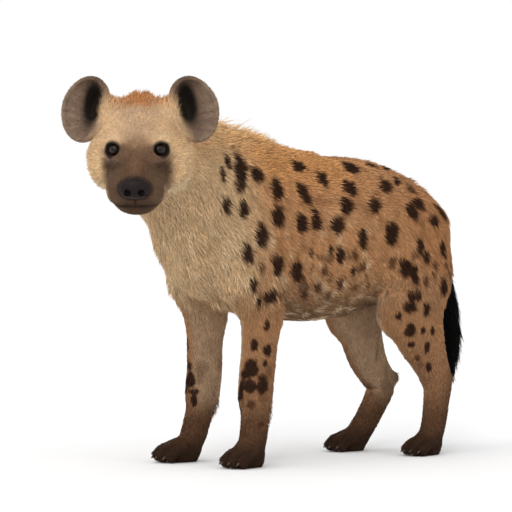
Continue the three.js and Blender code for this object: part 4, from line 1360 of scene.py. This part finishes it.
@dataclass
class Coat:
    """The tufts of hair, in pieces of one mesh each."""

    skin: Skin
    lie: Lie
    unwrap: Unwrap
    triangles_each: int = 9
    most: int = 1395000
    per_piece: int = 190000
    sunk: float = 1.4
    seen_at: float = 0.5
    floor: float = 0.4
    patch: float = 0.0028

    def roots(self) -> dict[str, Array]:
        """Picks where the tufts grow, spread evenly by the room that each takes.

        Returns:
            For each tuft its place, directions, layout, colour, length, width and lift, by name.
        """
        skin = self.skin
        shape = self.lie.shape(skin.verts, skin.parts, skin.normals)
        tris = np.vstack([skin.quads[:, [0, 1, 2]], skin.quads[:, [0, 2, 3]]])
        order = np.argsort(np.concatenate([np.arange(len(skin.quads))] * 2), kind="stable")
        tris = tris[order]
        a, b, c = (skin.verts[tris[:, i]] for i in range(3))
        area = np.linalg.norm(np.cross(b - a, c - a), axis=1) / 2
        share = area / shape["room"][tris].mean(1)
        total = share.sum()
        count = int(min(total, self.most / self.triangles_each))
        rng = np.random.default_rng(SEED)
        marks = (np.arange(count) + rng.random(count)) / count * total
        pick = np.searchsorted(np.cumsum(share), marks).clip(0, len(tris) - 1)
        r, s = rng.random(count), rng.random(count)
        over = r + s > 1
        r[over], s[over] = 1 - r[over], 1 - s[over]
        bary = np.stack([1 - r - s, r, s], 1)
        corner = tris[pick]

        def blend(values: Array) -> Array:
            """The values of the skin's points, carried to the roots."""
            return (values[corner] * (bary[:, :, None] if values.ndim == 2 else bary)).sum(1)

        flow = self.lie.flow(skin.verts, skin.parts, skin.normals)
        at = blend(skin.verts)
        normals = unit(blend(skin.normals))
        direction = blend(flow)
        direction = unit(direction - normals * (direction * normals).sum(1, keepdims=True))
        parts = blend(skin.parts.T).T
        uv = self.unwrap.place(at, parts, normals)
        out = {"at": at, "normal": normals, "flow": direction, "uv": uv}
        for key in ("length", "width", "lift"):
            out[key] = blend(shape[key])
        seen = at + direction * out["length"][:, None] * self.seen_at
        out["colour"] = self.skin.markings.coat(seen, parts, normals)
        log.info("%d tufts, room for %d", count, int(total))
        return out

    def build(self, shift: Array, finish: HairFinish) -> list[bpy.types.Object]:
        """Makes the pieces."""
        root = self.roots()
        count = len(root["at"])
        rng = np.random.default_rng(SEED + 1)
        material = finish.material()
        chunk = self.per_piece // self.triangles_each
        made = []
        for number, start in enumerate(range(0, count, chunk)):
            some = {k: v[start : start + chunk] for k, v in root.items()}
            verts, faces, colours, uvs = self._tufts(some, rng)
            obj = link_mesh(f"coat_{number + 1}", verts, faces, shift)
            set_colours(obj, "Markings", colours)
            layer = obj.data.uv_layers.new(name="OFBake")
            loops = np.empty(len(obj.data.loops), np.int32)
            obj.data.loops.foreach_get("vertex_index", loops)
            layer.data.foreach_set("uv", uvs[loops].astype(np.float32).ravel())
            obj.data.materials.append(material)
            made.append(obj)
        return made

    def _tufts(self, root: dict[str, Array], rng: np.random.Generator) -> tuple[Array, Array, Array, Array]:
        """Makes each tuft as two rings of three points and a tip.

        Args:
            root: where the tufts grow and their shapes, as roots() gives them.
            rng: the source of the small differences between tufts.

        Returns:
            The points, triangles, colours and places on the layout.
        """
        n = len(root["at"])
        at, normal, flow = root["at"], root["normal"], root["flow"]
        turn = rng.normal(0, 0.17, n)[:, None]
        across = np.cross(normal, flow)
        along = unit(flow + across * turn)
        across = np.cross(normal, along)
        length = (root["length"] * rng.uniform(0.72, 1.25, n))[:, None]
        width = (root["width"] * rng.uniform(0.75, 1.25, n))[:, None] / 2
        lift = (root["lift"] * rng.uniform(0.6, 1.4, n))[:, None]
        bend = rng.normal(0, 0.07, n)[:, None] * length
        thick = width * 0.55
        base = at - normal * self.sunk
        mid = at + along * length * 0.48 + normal * (lift * length * 0.62 + thick * 0.5)
        tip = at + along * length * (1 - 0.35 * lift) + across * bend + normal * lift * length
        verts = np.empty((n, 7, 3))
        for i, angle in enumerate((0.0, 2.0944, 4.18879)):
            ring = across * math.sin(angle) * width + normal * math.cos(angle) * thick
            verts[:, i] = base + ring
            verts[:, 3 + i] = mid + ring * 0.85
        verts[:, 6] = tip
        verts[:, :, 2] = np.maximum(verts[:, :, 2], self.floor)
        cell = []
        for i in range(3):
            j = (i + 1) % 3
            cell += [(i, 3 + j, j), (i, 3 + i, 3 + j), (3 + i, 6, 3 + j)]
        offsets = np.arange(n)[:, None, None] * 7
        faces = (np.array(cell)[None] + offsets).reshape(-1, 3)
        tone = 1 + rng.normal(0, 0.15, (n, 1)).clip(-0.35, 0.35)
        # each tuft darker at its root, as painted shade down among the hair, and lighter towards its tip
        shade = np.array([0.62, 0.62, 0.62, 1.02, 1.02, 1.02, 1.24])
        colours = root["colour"][:, None, :] * shade[None, :, None] * tone[:, :, None]
        spread = np.array([(0, 0), (1, 0), (0.5, 0.3), (0, 0.6), (1, 0.6), (0.5, 0.8), (0.5, 1)]) - 0.5
        uvs = root["uv"][:, None, :] + spread[None] * self.patch
        return (verts.reshape(-1, 3), faces, np.clip(colours, 0, 1).reshape(-1, 3),
                np.clip(uvs, 0, 1).reshape(-1, 2))


@dataclass
class Eye:
    """An eyeball with a dark iris and a clear, wet front."""

    body: BodyForm
    side: int
    rings: int = 40
    around: int = 56
    bulge: float = 1.3
    gap: float = 0.4

    def build(self, shift: Array) -> bpy.types.Object:
        """Makes the eyeball, its front turned the way the eye looks."""
        head = self.body.head
        polar = np.linspace(0, math.pi, self.rings)
        angle = np.arange(self.around) / self.around * 2 * math.pi
        radius = head.eye_radius - self.gap + self.bulge * ramp(polar, 0.75, 0.0)
        looks = unit(head.gaze)
        across = unit(np.cross([0, 0, 1], looks))
        axes = np.stack([looks, across, np.cross(looks, across)], 1)
        rows = []
        for r, t in zip(radius, polar):
            ring = np.stack([np.full(self.around, r * math.cos(t)), r * math.sin(t) * np.cos(angle),
                             r * math.sin(t) * np.sin(angle)], 1)
            rows.append(ring)
        local = np.concatenate(rows) @ axes.T
        local = local + np.array(head.eye_at)
        from_middle = local - np.array(head.eye_at)
        ahead = from_middle @ looks / np.linalg.norm(from_middle, axis=1)
        polar_angle = np.arccos(np.clip(ahead, -1, 1))
        local[:, 1] *= self.side
        verts = head.world(local)
        faces = np.array(tube_faces(self.rings, self.around))
        if self.side > 0:
            faces = faces[:, ::-1]
        name = "eye_ball_left" if self.side > 0 else "eye_ball_right"
        obj = link_mesh(name, verts, faces, shift)
        set_colours(obj, "Markings", self._colours(polar_angle))
        paint = NodePainter(name + "_wet")
        colour = paint.add("ShaderNodeAttribute", attribute_name="Markings")
        paint.mottle(colour, 900.0, 0.8, 1.2)
        paint.constant(Roughness=0.05, Specular_IOR_Level=0.25)
        obj.data.materials.append(paint.material)
        return obj

    def _colours(self, polar: Array) -> Array:
        """Pupil, iris, its dark rim and the white, from the front backwards."""
        colour = np.tile(linear(8, 6, 6), (len(polar), 1))
        colour = mix(colour, linear(36, 22, 15), ramp(polar, 0.36, 0.46))
        colour = mix(colour, linear(12, 8, 7), ramp(polar, 0.70, 0.86))
        return mix(colour, linear(124, 106, 98), ramp(polar, 1.0, 1.14))


@dataclass
class Nose:
    """The bare pad of the nose, with its nostrils."""

    body: BodyForm
    step: float = 2.2

    def form(self, p: Array) -> Array:
        """Distance to the pad, in the head's axes folded to the left."""
        q = p.copy()
        q[:, 1] = np.abs(q[:, 1])
        head = self.body.head
        d = Blob(head.nose_at, head.nose).distance(q)
        wing = Blob((106, 20, -54), (17, 14, 17)).distance(q)
        d = smooth_min(d, wing, 8)
        hole = Blob((124, 15.5, -54), (13, 7.4, 8.5)).distance(q)
        slit = nearest(chain([(121, 17, -57, 4, 4), (112, 33, -62, 2.4, 2.4)]), q)
        d = smooth_max(d, -hole, 3)
        d = smooth_max(d, -slit, 2.5)
        cleft = nearest(chain([(131, 0, -44, 2, 2), (126, 0, -80, 2, 2)]), q)
        return smooth_max(d, -cleft, 2.5)

    def build(self, shift: Array) -> bpy.types.Object:
        """Makes the pad."""
        axes = tuple(graded((low, self.step), (high, 0)) for low, high in ((82, 136), (-44, 44), (-84, -18)))
        verts, quads = NetMesher(self.form, axes).quads()
        verts = settle(self.form, verts, 2, 2.0)
        verts, quads = split_quads(verts, quads)
        verts = settle(self.form, verts, 1, 1.0)
        obj = link_mesh("nose_pad", self.body.head.world(verts), quads, shift)
        paint = NodePainter("nose_skin")
        tones = ((34, 25, 24), (18, 12, 12))
        cells = paint.two_tone("ShaderNodeTexVoronoi", 620.0, "Distance", tones)
        bump = paint.add("ShaderNodeBump", Strength=0.5, Distance=0.0006)
        paint.link(cells, "Distance", bump, "Height")
        paint.link(bump, "Normal", paint.shader, "Normal")
        paint.constant(Roughness=0.45, Specular_IOR_Level=0.12)
        obj.data.materials.append(paint.material)
        return obj


@dataclass
class Claws:
    """The blunt dark claws, all in one mesh."""

    body: BodyForm
    roots: tuple = ((56, 11.5, 20), (45, 31, 18))
    length: float = 16.0
    half: float = 3.6
    rings: int = 9
    around: int = 12

    def build(self, shift: Array) -> bpy.types.Object:
        """Makes the claws of all four paws."""
        verts, faces = [], []
        angle = np.arange(self.around) / self.around * 2 * math.pi
        for paw in self.body.paws.values():
            for root in self.roots:
                for sign in (1, -1):
                    start = sum(len(v) for v in verts)
                    rows = []
                    for i in range(self.rings):
                        t = i / (self.rings - 1)
                        half = self.half * math.sqrt(max(1 - t**2.2, 0.0)) + 0.05
                        rows.append(np.stack([
                            np.full(self.around, root[0] - 4 + self.length * t),
                            sign * root[1] + half * 0.8 * np.cos(angle),
                            root[2] - 9 * t * t + half * np.sin(angle)], 1))
                    verts.append(paw.world(np.concatenate(rows)))
                    faces += tube_faces(self.rings, self.around, start)
        obj = link_mesh("claws", np.concatenate(verts), np.array(faces), shift)
        paint = NodePainter("claw_horn")
        paint.two_tone("ShaderNodeTexNoise", 300.0, "Fac", ((34, 26, 22), (84, 68, 56)))
        paint.constant(Roughness=0.4)
        obj.data.materials.append(paint.material)
        return obj


@dataclass
class Studio:
    """A plain pale floor and soft studio light."""

    key: float = 1.2
    fill: float = 0.3
    glint: float = 0.6
    sky: float = 0.78
    backdrop: float = 1.0
    key_from: Row = (-0.5, 0.75, 0.9)
    fill_from: Row = (0.7, 0.6, 0.5)
    glint_from: Row = (-0.12, 0.95, 0.42)
    key_degrees: float = 60.0
    fill_degrees: float = 40.0
    glint_degrees: float = 13.0
    floor_half: float = 30.0

    def _sun(self, name: str, energy: float, comes_from: Row, degrees: float) -> None:
        """Makes one soft lamp. Args: comes_from is (right, towards the camera, up) as the camera sees it."""
        camera = PhotoCamera()
        data = bpy.data.lights.new(name, "SUN")
        data.energy = energy
        data.angle = math.radians(degrees)
        lamp = bpy.data.objects.new(name, data)
        where = camera.right * comes_from[0] + camera.back * comes_from[1] + np.array([0, 0, comes_from[2]])
        lamp.rotation_mode = "QUATERNION"
        lamp.rotation_quaternion = Vector(-where).to_track_quat("-Z", "Y")
        bpy.context.collection.objects.link(lamp)

    def _world(self) -> None:
        """A pale surround: one brightness to light the animal, another behind it."""
        world = bpy.data.worlds.new("studio")
        bpy.context.scene.world = world
        world.use_nodes = True
        nodes, links = world.node_tree.nodes, world.node_tree.links
        light = nodes["Background"]
        light.inputs["Strength"].default_value = self.sky
        light.inputs["Color"].default_value = (1, 1, 1, 1)
        behind = nodes.new("ShaderNodeBackground")
        behind.inputs["Strength"].default_value = self.backdrop
        behind.inputs["Color"].default_value = (1, 1, 1, 1)
        path = nodes.new("ShaderNodeLightPath")
        choose = nodes.new("ShaderNodeMixShader")
        links.new(path.outputs["Is Camera Ray"], choose.inputs[0])
        links.new(light.outputs[0], choose.inputs[1])
        links.new(behind.outputs[0], choose.inputs[2])
        links.new(choose.outputs[0], nodes["World Output"].inputs["Surface"])

    def build(self) -> None:
        """Makes the floor, the lights and the world."""
        scene = bpy.context.scene
        scene.view_settings.view_transform = "Standard"
        mesh = bpy.data.meshes.new("floor")
        half = self.floor_half
        corners = [(-half, -half, 0), (half, -half, 0), (half, half, 0), (-half, half, 0)]
        mesh.from_pydata(corners, [], [(0, 1, 2, 3)])
        floor = bpy.data.objects.new("floor", mesh)
        bpy.context.collection.objects.link(floor)
        paint = NodePainter("floor_paint")
        paint.shader.inputs["Base Color"].default_value = (0.93, 0.93, 0.93, 1)
        paint.constant(Roughness=0.9)
        mesh.materials.append(paint.material)
        self._world()
        self._sun("key_light", self.key, self.key_from, self.key_degrees)
        self._sun("fill_light", self.fill, self.fill_from, self.fill_degrees)
        self._sun("glint_light", self.glint, self.glint_from, self.glint_degrees)
        log.info("studio: floor, surround and three lights")


def main() -> None:
    """Builds the animal, its coat, the studio and the camera."""
    logging.basicConfig(level=logging.INFO, format="%(name)s: %(message)s")
    body = BodyForm()
    low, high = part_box("eye_left")
    eye = body.head.world(np.array(body.head.eye_at, float))
    shift = (np.array(low) + np.array(high)) / 2 / MM - eye
    shift[2] = 0.0
    camera = PhotoCamera()
    markings = Markings(camera, body)
    skin = Skin(body, markings)
    skin.grow()
    markings.place_spots(skin.verts, skin.quads)
    skin_obj = skin.build(shift, HairFinish("skin_fur", relief=0.0008))
    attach(skin_obj, "root")
    bare = ("nose", "eye_left", "eye_right")
    flesh = [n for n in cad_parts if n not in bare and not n.startswith("claw")]
    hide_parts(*flesh)
    coat = Coat(skin, Lie(body), Unwrap(body))
    for obj in coat.build(shift, HairFinish("coat_hair", scale=220.0)):
        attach(obj, "root")
        log.info("%s: %d triangles", obj.name, len(obj.data.polygons))
    for side, node in ((1, "eye_left"), (-1, "eye_right")):
        obj = Eye(body, side).build(shift)
        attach(obj, "root")
        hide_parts(node)
        log.info("%s: %d faces", obj.name, len(obj.data.polygons))
    nose = Nose(body).build(shift)
    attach(nose, "root")
    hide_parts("nose")
    log.info("%s: %d faces", nose.name, len(nose.data.polygons))
    claws = Claws(body).build(shift)
    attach(claws, "root")
    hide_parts(*[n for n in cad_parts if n.startswith("claw")])
    log.info("%s: %d faces", claws.name, len(claws.data.polygons))
    Studio().build()
    camera.build(shift)
    log.info("camera placed")


if __name__ == "__main__":
    main()
